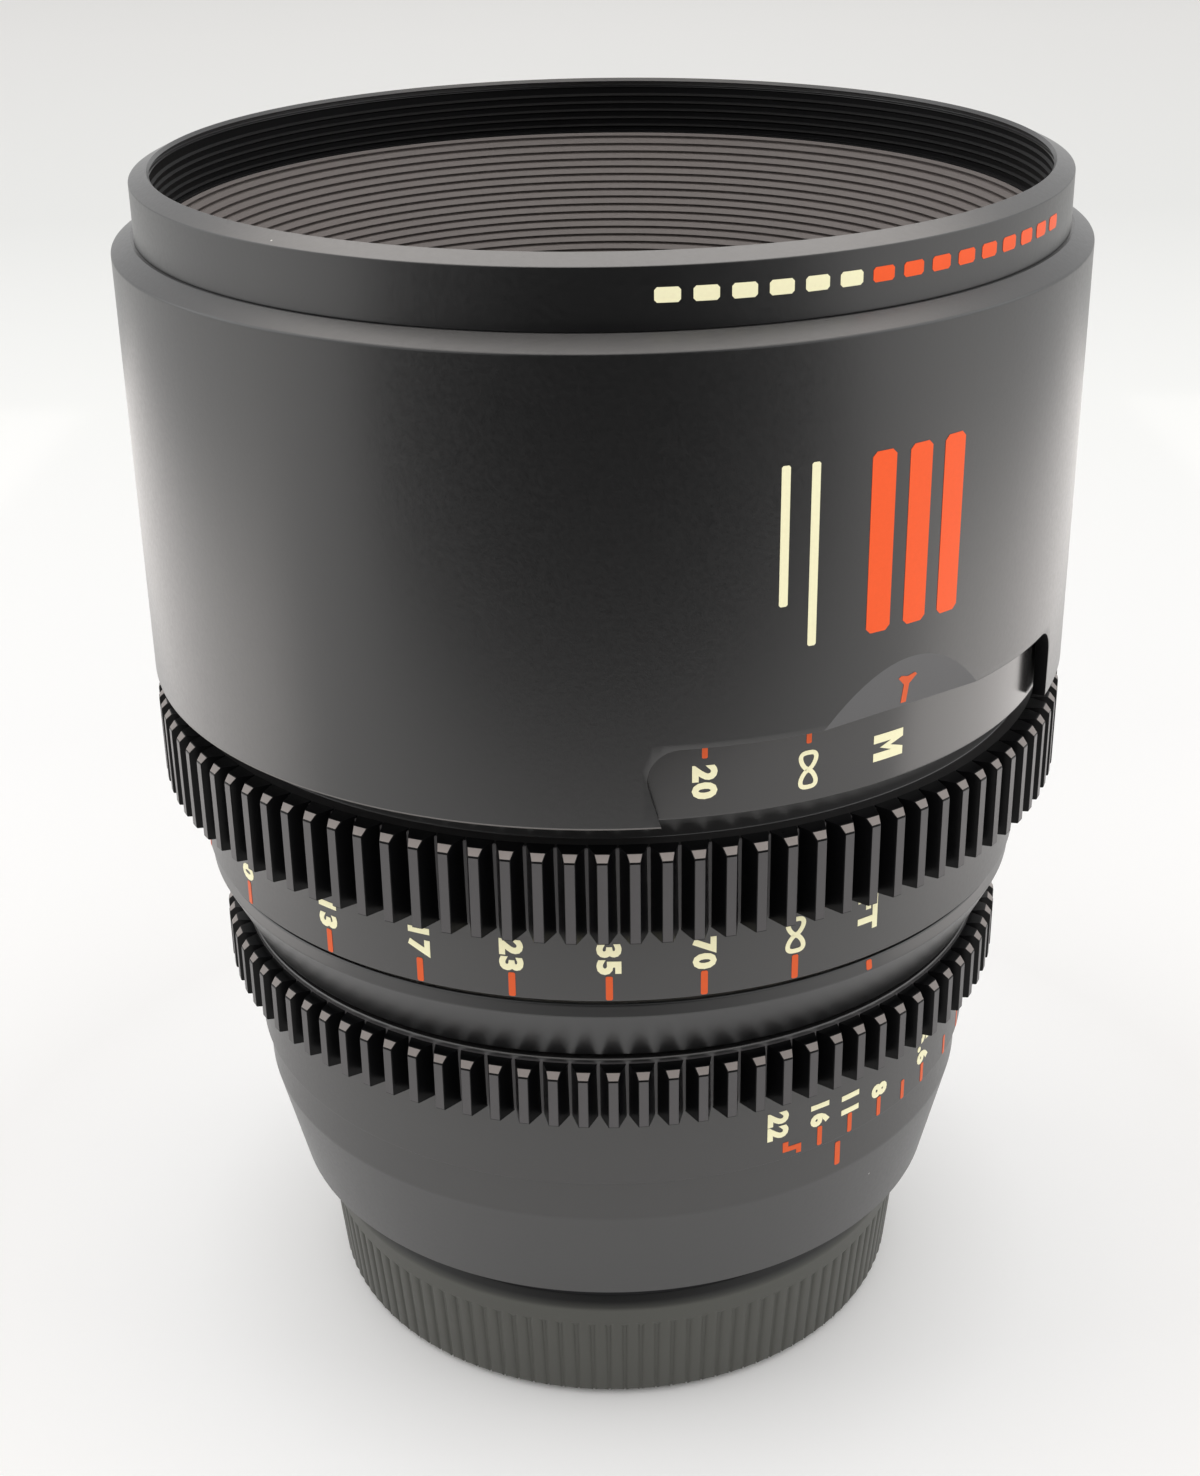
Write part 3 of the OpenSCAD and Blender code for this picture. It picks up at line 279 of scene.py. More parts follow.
def coated_glass(name):
    material, shader, place = new_finish(name, {
        "Transmission Weight": 1.0, "IOR": 1.62, "Coat Roughness": 0.02, "Coat IOR": 1.9,
        "Coat Tint": srgb(222, 214, 240)})
    haze = noise(place, 60.0, 4.0)
    feed(shader, "Base Color", mixed(haze, srgb(246, 250, 248), srgb(255, 255, 255)))
    feed(shader, "Roughness", 0.015*haze)
    feed(shader, "Coat Weight", 0.55 + 0.15*haze)


coated_glass("coated_glass")
print("other finishes made")

# %% [markdown]
# ## Turned pieces
# Barrels and rings come off a lathe, so each one is half a section turned round the axis. Real edges are
# never razor sharp: every corner of the section gets a small arc, and a support ring on each side of the
# arc keeps the flat faces flat under smooth shading. The Spin operator could do it too, but rings that are
# joined in code keep the seam closed and the count of points known.


# %% Lathe
ON_AXIS, STRAIGHT, LEAST_CUT = 1e-6, 0.02, 1e-4
ARC_STEPS, ARC_ROOM, SUPPORT = 3, 0.4, 0.25


def rounded(section, radius):
    """Section points with each corner replaced by an arc; a point may carry its own radius."""
    result = []
    count = len(section)
    for i, corner in enumerate(section):
        before, here, after = (Vector(section[(i + k) % count][:2]) for k in (-1, 0, 1))
        to_before, to_after = before - here, after - here
        size = corner[2] if len(corner) > 2 else radius
        angle = to_before.angle(to_after)
        cut = size/math.tan(angle/2) if angle < math.pi - STRAIGHT else 0
        cut = min(cut, ARC_ROOM*to_before.length, ARC_ROOM*to_after.length)
        if cut < LEAST_CUT or here.x < ON_AXIS:
            result.append((here.x, here.y))
            continue
        start, end = here + to_before.normalized()*cut, here + to_after.normalized()*cut
        support = SUPPORT*cut
        result.append(tuple(start + to_before.normalized()*support))
        for k in range(ARC_STEPS + 1):
            t = k/ARC_STEPS
            point = (1 - t)**2*start + 2*t*(1 - t)*here + t**2*end
            result.append(tuple(point))
        result.append(tuple(end + to_after.normalized()*support))
    return result


def lathe_bmesh(section, segments):
    """Closed solid of revolution from a section in millimetres."""
    shape = bmesh.new()
    rings = []
    for r, z in section:
        if r < ON_AXIS:
            rings.append([shape.verts.new((0, 0, z*MM))])
            continue
        turn = [2*math.pi*k/segments for k in range(segments)]
        rings.append([shape.verts.new((r*MM*math.cos(a), r*MM*math.sin(a), z*MM)) for a in turn])
    for first, second in zip(rings, rings[1:] + rings[:1]):
        for k in range(segments):
            n = (k + 1) % segments
            places = ((first, k), (first, n), (second, n), (second, k))
            corners = list(dict.fromkeys(ring[j % len(ring)] for ring, j in places))
            if len(corners) > 2:
                shape.faces.new(corners)
    bmesh.ops.recalc_face_normals(shape, faces=shape.faces)
    return shape


print("lathe ready")

# %% [markdown]
# ## From meshes to pieces
# A finished shape becomes an object at the origin, with smooth shading and its sharp edges kept. Then it
# hangs on the empty of the body that carries it, so that it moves with its joint, and the CAD nodes that it
# stands for are hidden.

# %% Piece helpers
SHARP = math.radians(32)
GEAR_SHARP = math.radians(13)
MARK_SHARP = math.radians(50)


def piece_from(shape, name, material, sharp=SHARP):
    """Object at the origin from a bmesh, smooth shaded with sharp edges kept."""
    mesh = bpy.data.meshes.new(name)
    shape.to_mesh(mesh)
    shape.free()
    mesh.materials.append(material)
    for face in mesh.polygons:
        face.use_smooth = True
    mesh.set_sharp_from_angle(angle=sharp)
    made = bpy.data.objects.new(name, mesh)
    link(made)
    return made


def turned(name, material, section, radius=0.05, segments=320):
    """Piece turned from a section with rounded corners."""
    return piece_from(lathe_bmesh(rounded(section, radius), segments), name, material)


def settle(piece, body, slot, *replaced):
    """Hangs a finished piece on the empty of its body and hides the CAD nodes that it stands for."""
    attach(piece, body)
    if replaced:
        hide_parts(*replaced)
    print(piece.name, "on", body, "-", len(piece.data.polygons), "faces")


def walls(shape, rings):
    """Quads from each ring of points to the next."""
    for first, second in zip(rings, rings[1:]):
        for k in range(len(first)):
            n = (k + 1) % len(first)
            shape.faces.new((first[k], first[n], second[n], second[k]))


def plain_mesh(piece):
    """Bakes a piece's modifiers into its mesh."""
    bpy.context.view_layer.update()
    graph = bpy.context.evaluated_depsgraph_get()
    mesh = bpy.data.meshes.new_from_object(piece.evaluated_get(graph))
    mesh.name = piece.name
    piece.modifiers.clear()
    piece.data = mesh


def second_finish(piece, material, chosen):
    """Gives another material to the faces chosen by their radius and height in metres."""
    piece.data.materials.append(material)
    for face in piece.data.polygons:
        if chosen(face.center.xy.length, face.center.z):
            face.material_index = 1


print("piece helpers ready")

# %% [markdown]
# ## Copies round the axis
# Gear teeth, cap ribs and lugs repeat round the optical axis. Copying them in Python would work, but a
# Geometry Nodes tree says it once: points at the origin, one instance on each, and a rotation that grows
# with the index. The tree ends in real geometry with its material, and the piece keeps the result as a
# plain mesh.


# %% Ring of copies
def new_tree(name, inputs):
    """Geometry Nodes tree, its input and output sockets, and the identifiers of its named inputs."""
    tree = bpy.data.node_groups.new(name, "GeometryNodeTree")
    tree.interface.new_socket("Geometry", in_out="INPUT", socket_type="NodeSocketGeometry")
    named = {}
    for label, kind in inputs.items():
        socket = tree.interface.new_socket(label, in_out="INPUT", socket_type=f"NodeSocket{kind}")
        named[label] = socket.identifier
    tree.interface.new_socket("Geometry", in_out="OUTPUT", socket_type="NodeSocketGeometry")
    source, result = tree.nodes.new("NodeGroupInput"), tree.nodes.new("NodeGroupOutput")
    return tree, source.outputs, result.inputs, named


def copies_tree():
    tree, source, result, named = new_tree("ring_of_copies", {"Count": "Int", "Material": "Material"})
    add = tree.nodes.new
    points, index = add("GeometryNodePoints"), add("GeometryNodeInputIndex")
    share, angle = add("ShaderNodeMath"), add("ShaderNodeMath")
    share.operation = "DIVIDE"
    angle.operation = "MULTIPLY"
    angle.inputs[1].default_value = 2*math.pi
    spin, spread = add("ShaderNodeCombineXYZ"), add("GeometryNodeInstanceOnPoints")
    real, paint = add("GeometryNodeRealizeInstances"), add("GeometryNodeSetMaterial")
    for start, end in (
            (source["Count"], points.inputs["Count"]),
            (index.outputs[0], share.inputs[0]),
            (source["Count"], share.inputs[1]),
            (share.outputs[0], angle.inputs[0]),
            (angle.outputs[0], spin.inputs["Z"]),
            (points.outputs[0], spread.inputs["Points"]),
            (source["Geometry"], spread.inputs["Instance"]),
            (spin.outputs[0], spread.inputs["Rotation"]),
            (spread.outputs[0], real.inputs[0]),
            (real.outputs[0], paint.inputs["Geometry"]),
            (source["Material"], paint.inputs["Material"]),
            (paint.outputs[0], result[0])):
        tree.links.new(start, end)
    return tree, named


COPIES, COPIES_INPUTS = copies_tree()


def ring_of(piece, count, material):
    """Turns one piece, in place at azimuth 0, into a ring of copies."""
    ring = piece.modifiers.new("ring", "NODES")
    ring.node_group = COPIES
    ring[COPIES_INPUTS["Count"]] = count
    ring[COPIES_INPUTS["Material"]] = material
    plain_mesh(piece)
    for face in piece.data.polygons:
        face.use_smooth = True
    piece.data.set_sharp_from_angle(angle=SHARP)
    return piece


print("ring of copies ready")


# %% Joining and placing
def joined(main, *others, sharp=SHARP):
    """Joins finished meshes into the first piece."""
    shape = bmesh.new()
    shape.from_mesh(main.data)
    for other in others:
        slots = [main.data.materials.find(m.name) for m in other.data.materials]
        for k, material in enumerate(other.data.materials):
            if slots[k] < 0:
                main.data.materials.append(material)
                slots[k] = len(main.data.materials) - 1
        before = len(shape.faces)
        shape.from_mesh(other.data)
        shape.faces.ensure_lookup_table()
        for face in shape.faces[before:]:
            face.material_index = slots[face.material_index] if slots else 0
        bpy.data.objects.remove(other)
    shape.to_mesh(main.data)
    shape.free()
    main.data.set_sharp_from_angle(angle=sharp)
    return main


def on_axis(az, r, z):
    """Place at an azimuth counted from the camera's side, in metres."""
    a = math.radians(az)
    return Vector((r*math.sin(a), -r*math.cos(a), z))*MM


print("joining ready")

# %% [markdown]
# ## The ridged cone
# Behind the filter thread a cone leads down to the front glass. Fine steps are turned into it so that stray
# light is caught. The steps are real here, a ledge and a groove for each ridge, because a bump alone
# would vanish at the flat angle from which the camera sees them.

# %% Front baffle
CONE_HOLE_R, CONE_SLOPE, CONE_WALL, CONE_FOOT = 24.6, 0.77, 2.2, 1.0
CONE_TOP_R, CONE_TOP_Z = 37.99, 107.0
SEAT_R, SEAT_TOP_Z, LIP_R = 38.5, 106.6, 38.05
CONE_LOW_Z = CONE_TOP_Z - (CONE_TOP_R - CONE_HOLE_R)/CONE_SLOPE
RIDGE_STEP, RIDGE_DEPTH, RIDGE_SHARE, RIDGE_EDGE = 0.656, 0.42, 0.31, 0.32
RIDGE_RISE, RIDGE_FALL, RIDGE_FREE, RIDGE_SHARP = 0.06, 0.08, 0.8, math.radians(20)
FLANGE_LOW, FLANGE_TOP, FLANGE_R = 97.0, 101.0, 38.8


def cone_r(z):
    return CONE_HOLE_R + CONE_SLOPE*(z - CONE_LOW_Z)


ridges = []
ridge_count = int((CONE_TOP_Z - CONE_LOW_Z - RIDGE_FREE)/RIDGE_STEP)
for k in range(ridge_count, 0, -1):
    low = CONE_TOP_Z + RIDGE_STEP*(1 - RIDGE_SHARE - k) - RIDGE_EDGE
    high = low + RIDGE_SHARE*RIDGE_STEP
    ridges += [(cone_r(low), low), (cone_r(low) + RIDGE_DEPTH, low + RIDGE_RISE),
               (cone_r(high) + RIDGE_DEPTH, high), (cone_r(high), high + RIDGE_FALL)]
section = [
    (CONE_HOLE_R, CONE_LOW_Z - CONE_FOOT), (CONE_HOLE_R + CONE_WALL, CONE_LOW_Z - CONE_FOOT),
    (CONE_HOLE_R + CONE_WALL, CONE_LOW_Z), (cone_r(FLANGE_LOW) + CONE_WALL, FLANGE_LOW),
    (FLANGE_R, FLANGE_LOW), (FLANGE_R, FLANGE_TOP), (SEAT_R, FLANGE_TOP), (SEAT_R, SEAT_TOP_Z),
    (LIP_R, SEAT_TOP_Z), (LIP_R, CONE_TOP_Z), (CONE_TOP_R, CONE_TOP_Z),
    *reversed(ridges), (CONE_HOLE_R, CONE_LOW_Z + 0.4)]
baffle = piece_from(lathe_bmesh(section, 240), "baffle_cone", baffle_paint, RIDGE_SHARP)
settle(baffle, "root", "matte_black", "front_baffle")

# %% [markdown]
# ## The front ring and its thread
# The rim carries the filter thread. A thread is a small ridge swept along a spiral, so a second Geometry
# Nodes tree makes the spiral and sweeps the ridge. The ring itself is turned, with a chamfer at the mouth.


# %% Thread tree
def thread_tree():
    tree, source, result, named = new_tree("thread", {
        "Turns": "Float", "Radius": "Float", "Length": "Float", "Ridge": "Float", "Low": "Float",
        "Material": "Material"})
    add = tree.nodes.new
    spiral, ridge = add("GeometryNodeCurveSpiral"), add("GeometryNodeCurvePrimitiveCircle")
    sweep, place = add("GeometryNodeCurveToMesh"), add("GeometryNodeTransform")
    lift, real = add("ShaderNodeCombineXYZ"), add("GeometryNodeRealizeInstances")
    paint = add("GeometryNodeSetMaterial")
    spiral.inputs["Resolution"].default_value = 120
    ridge.inputs["Resolution"].default_value = 4
    sweep.inputs["Fill Caps"].default_value = True
    for start, end in (
            (source["Turns"], spiral.inputs["Rotations"]),
            (source["Radius"], spiral.inputs["Start Radius"]),
            (source["Radius"], spiral.inputs["End Radius"]),
            (source["Length"], spiral.inputs["Height"]),
            (source["Ridge"], ridge.inputs["Radius"]),
            (spiral.outputs[0], sweep.inputs["Curve"]),
            (ridge.outputs[0], sweep.inputs["Profile Curve"]),
            (source["Low"], lift.inputs["Z"]),
            (sweep.outputs[0], place.inputs["Geometry"]),
            (lift.outputs[0], place.inputs["Translation"]),
            (place.outputs[0], real.inputs[0]),
            (real.outputs[0], paint.inputs["Geometry"]),
            (source["Material"], paint.inputs["Material"]),
            (paint.outputs[0], result[0])):
        tree.links.new(start, end)
    return tree, named


THREAD, THREAD_INPUTS = thread_tree()
print("thread tree:", len(THREAD.nodes), "nodes")

# %% Front ring
RIM_R, RIM_TOP, RIM_SEAT, RIM_SLOPE_Z = 40.0, 112.4, 107.05, 111.65
SKIRT_R, SKIRT_LOW, SKIRT_BORE_R = 39.0, 101.0, 38.544
THREAD_WALL_R, THREAD_MINOR_R, THREAD_LOW = 38.45, 38.094, 107.1
THREAD_PITCH, THREAD_TURNS, THREAD_RIDGE = 0.75, 5.2, 0.2
MOUTH_R, MOUTH_DEPTH = 38.6, 0.9
rim = turned("front_rim", anodised, [
    (SKIRT_BORE_R, SKIRT_LOW), (SKIRT_R, SKIRT_LOW), (SKIRT_R, RIM_SEAT), (RIM_R, RIM_SEAT),
    (RIM_R, RIM_SLOPE_Z, 0.1), (38.45, RIM_TOP, 0.05), (38.22, RIM_TOP - 0.32, 0.02),
    (38.55, RIM_TOP - 0.42), (38.55, RIM_TOP - 0.75), (38.3, RIM_TOP - 0.86),
    (THREAD_WALL_R, RIM_TOP - 1.0), (THREAD_WALL_R, CONE_TOP_Z + 0.2),
    (THREAD_MINOR_R, CONE_TOP_Z + 0.1), (THREAD_MINOR_R, SEAT_TOP_Z + 0.15),
    (SKIRT_BORE_R, SEAT_TOP_Z + 0.15)])
# Below the mouth the inner faces take the darkest black: painted shade.
second_finish(rim, recess_shade_black, lambda r, z: r < MOUTH_R*MM and z < (RIM_TOP - MOUTH_DEPTH)*MM)
thread = piece_from(bmesh.new(), "filter_thread", recess_shade_black)
cut = thread.modifiers.new("thread", "NODES")
cut.node_group = THREAD
for name, value in (
        ("Turns", THREAD_TURNS), ("Radius", (THREAD_WALL_R + 0.02)*MM),
        ("Length", THREAD_TURNS*THREAD_PITCH*MM), ("Ridge", THREAD_RIDGE*MM), ("Low", THREAD_LOW*MM),
        ("Material", recess_shade_black)):
    cut[THREAD_INPUTS[name]] = value
plain_mesh(thread)
joined(rim, thread)
settle(rim, "root", "satin_black", "front_ring")

# %% [markdown]
# ## The front barrel
# The long barrel is turned, then two cuts are milled: the window for the second distance scale, and a
# leaning flat above it for the index mark. The Boolean modifier does the same with two cutter meshes. A
# thin Bevel afterwards breaks the milled edges, and those catch the light in the photograph; the bevel
# faces and the barrel's bottom edge also take a paler finish, a painted highlight.


# %% Cutters
def radial_prism(outline, r_in, r_out):
    """Solid between two radii over an outline of (azimuth, height) points."""
    shape = bmesh.new()
    inner = [shape.verts.new(on_axis(az, r_in, z)) for az, z in outline]
    outer = [shape.verts.new(on_axis(az, r_out, z)) for az, z in outline]
    walls(shape, [inner, outer])
    count = len(outline)
    for ring in (inner, outer):
        for k in range(count//2 - 1):
            shape.faces.new((ring[k], ring[k + 1], ring[count - 2 - k], ring[count - 1 - k]))
    bmesh.ops.recalc_face_normals(shape, faces=shape.faces)
    return shape


BARREL_R, BARREL_LOW, BARREL_TOP = 42.0, 68.4, 107.05
WINDOW_MID, WINDOW_HALF, WINDOW_TOP, WINDOW_CORNER = 34.3, 30.4, 75.1, 2.6
WINDOW_LEFT = WINDOW_MID - WINDOW_HALF
WINDOW_SLANT, SLANT_REACH = 1.95, 5.0
CUT_IN_R, CUT_OUT_R = 36.0, 44.0
CORNER_STEPS, FLAT_STEPS = 8, 24
corner_arc = math.degrees(WINDOW_CORNER/BARREL_R)
flat_arc = 2*WINDOW_HALF - 2*corner_arc
upper = []
for k in range(CORNER_STEPS + 1):
    turn = math.pi/2*k/CORNER_STEPS
    upper.append((WINDOW_LEFT + corner_arc*(1 - math.cos(turn)),
                  WINDOW_TOP - WINDOW_CORNER*(1 - math.sin(turn))))
corner = upper[::-1]
upper += [(WINDOW_LEFT + corner_arc + flat_arc*k/FLAT_STEPS, WINDOW_TOP) for k in range(1, FLAT_STEPS)]
upper += [(2*WINDOW_MID - az, z) for az, z in corner]
lower = []
for az, z in reversed(upper):
    share = max(0, 1 - (az - WINDOW_LEFT)/SLANT_REACH)
    lower.append((az + WINDOW_SLANT*share, BARREL_LOW - 1))
# The cutter's material passes to the window's walls: the darkest black, painted shade.
window_cutter = piece_from(radial_prism(upper + lower, CUT_IN_R, CUT_OUT_R), "window_cutter", recess_shade_black)

INDEX_W, INDEX_H = 16.0, 4.5
CUT_DEEP, CUT_TALL, CUT_BELOW = 3.0, 15.7, 6.7
flat_depth = INDEX_W**2/(8*BARREL_R)
lean = math.atan(flat_depth/INDEX_H)
shape = bmesh.new()
bmesh.ops.create_cube(shape, size=1.0)
shape.transform(Matrix.Diagonal((CUT_DEEP*MM, 2*INDEX_W*MM, CUT_TALL*MM, 1)))
shape.transform(Matrix.Translation(Vector((CUT_DEEP/2, 0, CUT_TALL/2 - CUT_BELOW))*MM))
shape.transform(Matrix.Rotation(lean, 4, "Y"))
shape.transform(Matrix.Translation(Vector((BARREL_R - flat_depth, 0, WINDOW_TOP))*MM))
to_window = Matrix.Rotation(math.radians(WINDOW_MID - 90), 4, "Z")
shape.transform(to_window)
# The cutter's material passes to the flat: its paler tone is painted light.
flat_cutter = piece_from(shape, "flat_cutter", facet_painted_light)
print("cutters ready")

# %% Front barrel
BORE_R, BORE_TOP, NECK_R, SHOULDER_Z = 40.88, 81.6, 37.45, 106.0
EDGE_W, EDGE_H = 0.16, 0.19
CUT_RINGS = (71.0, 73.5, 75.6, 77.6, 80.2, 84.0, 95.0)
barrel = turned("outer_barrel", anodised, [
    (BORE_R, BARREL_LOW), (BARREL_R, BARREL_LOW, 0.2), *((BARREL_R, z) for z in CUT_RINGS),
    (BARREL_R, SHOULDER_Z, 0.25), (40.3, BARREL_TOP - 0.01, 0.02), (39.03, BARREL_TOP), (39.03, SKIRT_LOW),
    (38.85, SKIRT_LOW), (38.85, FLANGE_LOW), (NECK_R, FLANGE_LOW), (NECK_R, BORE_TOP), (BORE_R, BORE_TOP),
    (BORE_R, 76.0), (BORE_R, 73.0)])
# The barrel's bottom edge takes the paler edge finish: painted highlight.
second_finish(barrel, edge_painted_highlight, lambda r, z: z < (BARREL_LOW + EDGE_H)*MM and r > (BARREL_R - EDGE_W)*MM)
for cutter in (window_cutter, flat_cutter):
    milled = barrel.modifiers.new("milled", "BOOLEAN")
    milled.operation = "DIFFERENCE"
    milled.solver = "EXACT"
    milled.material_mode = "TRANSFER"
    milled.object = cutter
broken_edge = barrel.modifiers.new("edge", "BEVEL")
broken_edge.width = EDGE_W*MM
# The bevel faces take material 1, the paler edge finish: painted highlight.
broken_edge.material = 1
broken_edge.segments = 2
broken_edge.limit_method = "ANGLE"
broken_edge.angle_limit = math.radians(40)
plain_mesh(barrel)
for cutter in (window_cutter, flat_cutter):
    bpy.data.objects.remove(cutter)
barrel.data.set_sharp_from_angle(angle=SHARP)
settle(barrel, "root", "black_anodised", "front_barrel")

# %% Crisp facet
FACET_LOW_Z, FACET_TURN = 74.5, math.radians(2.5)
facet_az = math.radians(WINDOW_MID)
facet_out = Vector((math.sin(facet_az)*math.cos(lean), -math.cos(facet_az)*math.cos(lean), -math.sin(lean)))
facet = set()
sides = {}
for face in barrel.data.polygons:
    if face.normal.angle(facet_out) < FACET_TURN and face.center.z > FACET_LOW_Z*MM:
        facet.add(face.index)
    for key in face.edge_keys:
        sides.setdefault(key, []).append(face.index in facet)
for edge in barrel.data.edges:
    if len(set(sides[edge.key])) == 2:
        edge.use_edge_sharp = True
print("facet faces:", len(facet))
# %% [markdown]
# ## Geared rings
# A gear band is one tooth copied round the axis. The tooth has black flanks, a flat land and a bevel at its
# front corner. Thin plates on the land and the bevel carry a paler finish, painted light where these faces
# catch the light, and the floor between the teeth takes it too, as the photograph shows. The deeper black
# of the flanks, with its weak reflection, is painted shade.


# %% One tooth
LAND, FLOOR, BEVEL = 0.86, 0.2, 0.6
TOOTH_SUNK, TOOTH_EDGE = 0.25, 0.07


def tooth_halves(tip_r, root_r, count):
    """Half angles of a tooth at its root and at its land."""
    return math.pi/count - FLOOR/2/root_r, LAND/2/tip_r


def tooth_piece(name, tip_r, root_r, low, high, count):
    """One tooth at azimuth 0."""
    half_root, half_tip = tooth_halves(tip_r, root_r, count)
    sunk = root_r - TOOTH_SUNK
    outline = ((sunk, low), (root_r, low), (tip_r, low), (tip_r, high - BEVEL), (tip_r - BEVEL, high),
               (root_r, high), (sunk, high))
    shape = bmesh.new()
    columns = []
    for side in (-1, 1):
        column = []
        for r, z in outline:
            share = max(0.0, (r - root_r)/(tip_r - root_r))
            a = side*(half_root + (half_tip - half_root)*share)
            column.append(shape.verts.new(Vector((r*math.cos(a), r*math.sin(a), z))*MM))
        columns.append(column)
    walls(shape, columns)
    for column in columns:
        shape.faces.new(column)
    bmesh.ops.recalc_face_normals(shape, faces=shape.faces)
    edges = [e for e in shape.edges if min(v.co.xy.length for v in e.verts) > (root_r + 0.05)*MM]
    bmesh.ops.bevel(shape, geom=edges, offset=TOOTH_EDGE*MM, segments=2, affect="EDGES", profile=0.5)
    return piece_from(shape, name, gear_black)


print("tooth ready")

# %% Gear ring
PLATE_SINK, PLATE_LIFT, PLATE_EDGE = -6, 0.012, 0.1


def plate_on_tooth(name, rows, lift, material):
    """Thin plate at azimuth 0 between two rows of (radius, height, half angle), raised by lift."""
    shape = bmesh.new()
    layers = []
    for step in (PLATE_SINK, 1):
        corners = []
        for (r, z, half), order in zip(rows, ((-1, 1), (1, -1))):
            for side in order:
                reach, height = r + step*lift[0], z + step*lift[1]
                corner = Vector((reach*math.cos(side*half), reach*math.sin(side*half), height))
                corners.append(shape.verts.new(corner*MM))
        shape.faces.new(corners)
        layers.append(corners)
    walls(shape, layers)
    bmesh.ops.recalc_face_normals(shape, faces=shape.faces)
    return piece_from(shape, name, material)


def gear_ring(name, section, teeth, tip_r, root_r, low, high):
    """Turned ring with a band of teeth; the lands and the front bevels are plates in paler finishes,
    painted light, and the floor between the teeth takes the land's finish.
    """
    body = turned(name, rear_black, section, 0.12)
    # The floor between the teeth takes the paler land finish: painted light.
    second_finish(body, land_painted_light, lambda r, z: low*MM < z < high*MM and r > (root_r - 0.1)*MM)
    band = tooth_piece(name + "_teeth", tip_r, root_r, low, high, teeth)
    half_root, half_tip = tooth_halves(tip_r, root_r, teeth)
    bevel_rows = []
    for drop in (1 - PLATE_EDGE, PLATE_EDGE):
        r = tip_r - BEVEL*(1 - drop)
        half = half_root + (half_tip - half_root)*(r - root_r)/(tip_r - root_r)
        bevel_rows.append((r, high - BEVEL*drop, 0.9*half))
    land_rows = [(tip_r, z, 0.92*half_tip) for z in (low + PLATE_EDGE, high - BEVEL - PLATE_EDGE)]
    # The bevel and land plates carry the paler finishes: a painted highlight and painted light.
    lit_bevels = plate_on_tooth(name + "_bevels", bevel_rows, (PLATE_LIFT, PLATE_LIFT), bevel_painted_highlight)
    lands = plate_on_tooth(name + "_lands", land_rows, (PLATE_LIFT, 0), land_painted_light)
    for copied, material in ((band, gear_black), (lit_bevels, bevel_painted_highlight), (lands, land_painted_light)):
        ring_of(copied, teeth, material)
    return joined(body, band, lit_bevels, lands, sharp=GEAR_SHARP)


print("gear ring ready")

# %% Focus ring and its scale sleeve
FEET_R, FEET_LOW, FEET_TOP = 38.8, 50.9, 58.3
SLEEVE_R, SLEEVE_LOW, SLEEVE_TOP, SLEEVE_BORE_R = 40.6, 68.4, 76.0, 39.03
FOCUS_TEETH, FOCUS_TIP_R, FOCUS_ROOT_R, FOCUS_BORE_R = 103, 42.0, 40.2, 37.43
focus = gear_ring("focus_gear_ring", [
    (FOCUS_BORE_R, FEET_LOW), (FEET_R, FEET_LOW, 0.2), (FEET_R, FEET_TOP), (FOCUS_ROOT_R, FEET_TOP),
    (FOCUS_ROOT_R, 65.9), (39.0, 66.2), (39.0, SLEEVE_TOP), (FOCUS_BORE_R, SLEEVE_TOP)],
    FOCUS_TEETH, FOCUS_TIP_R, FOCUS_ROOT_R, 58.2, 66.1)
settle(focus, "focus", "gear_black", "focus_ring")
sleeve = turned("scale_sleeve", sleeve_black, [
    (SLEEVE_BORE_R, SLEEVE_LOW), (SLEEVE_R, SLEEVE_LOW, 0.15), (SLEEVE_R, SLEEVE_TOP, 0.15),
    (SLEEVE_BORE_R, SLEEVE_TOP)])
settle(sleeve, "focus", "black_anodised", "distance_sleeve")

# %% Aperture ring
STOP_R, STOP_LOW, STOP_TOP = 35.14, 29.75, 37.6
APERTURE_TEETH, APERTURE_TIP_R, APERTURE_ROOT_R, APERTURE_BORE_R = 92, 37.6, 35.8, 33.55
aperture = gear_ring("aperture_gear_ring", [
    (APERTURE_BORE_R, STOP_LOW), (STOP_R, STOP_LOW, 0.15), (STOP_R, STOP_TOP), (APERTURE_ROOT_R, STOP_TOP),
    (APERTURE_ROOT_R, 43.3, 0.25), (APERTURE_BORE_R, 43.3)],
    APERTURE_TEETH, APERTURE_TIP_R, APERTURE_ROOT_R, 37.5, 42.8)
settle(aperture, "aperture", "gear_black", "aperture_ring")

# %% [markdown]
# ## Fixed barrels
# The middle barrel is a plain cone with an upright lip, and the rear barrel tapers to the mount. Both are
# turned. Some of their edges get larger arcs than the rings have, for the soft highlights there.

# %% Middle and rear barrel
TUBE_R = 33.53
LIP_LOW, LIP_TOP = (38.5, 49.15), (38.33, 50.35)
middle = turned("middle_cone", satin_black, [
    (TUBE_R, 43.85), (35.9, 43.85, 0.15), (*LIP_LOW, 0.3), (*LIP_TOP, 0.2), (35.48, 50.35), (35.48, 49.15),
    (TUBE_R, 49.15)])
settle(middle, "root", "satin_black", "middle_barrel")
REAR_R, REAR_LOW, REAR_TOP = 34.6, 25.6, 29.6
rear = turned("rear_cone", rear_black, [
    (22.0, 15.5), (32.25, 15.5, 0), (REAR_R, REAR_LOW, 1.6), (REAR_R, REAR_TOP, 0.2), (TUBE_R, REAR_TOP),
    (TUBE_R, 24.5), (30.5, 24.5), (30.5, 18.5), (22.0, 18.5)])
settle(rear, "root", "black_anodised", "rear_barrel")

# %% [markdown]
# ## The rear cap
# The cap is moulded in one piece: shell, inner collar and lugs. Its grip is a ring of fine upright ribs
# below a smooth band, so one rib is made and copied round the shell with the same tree as the teeth.

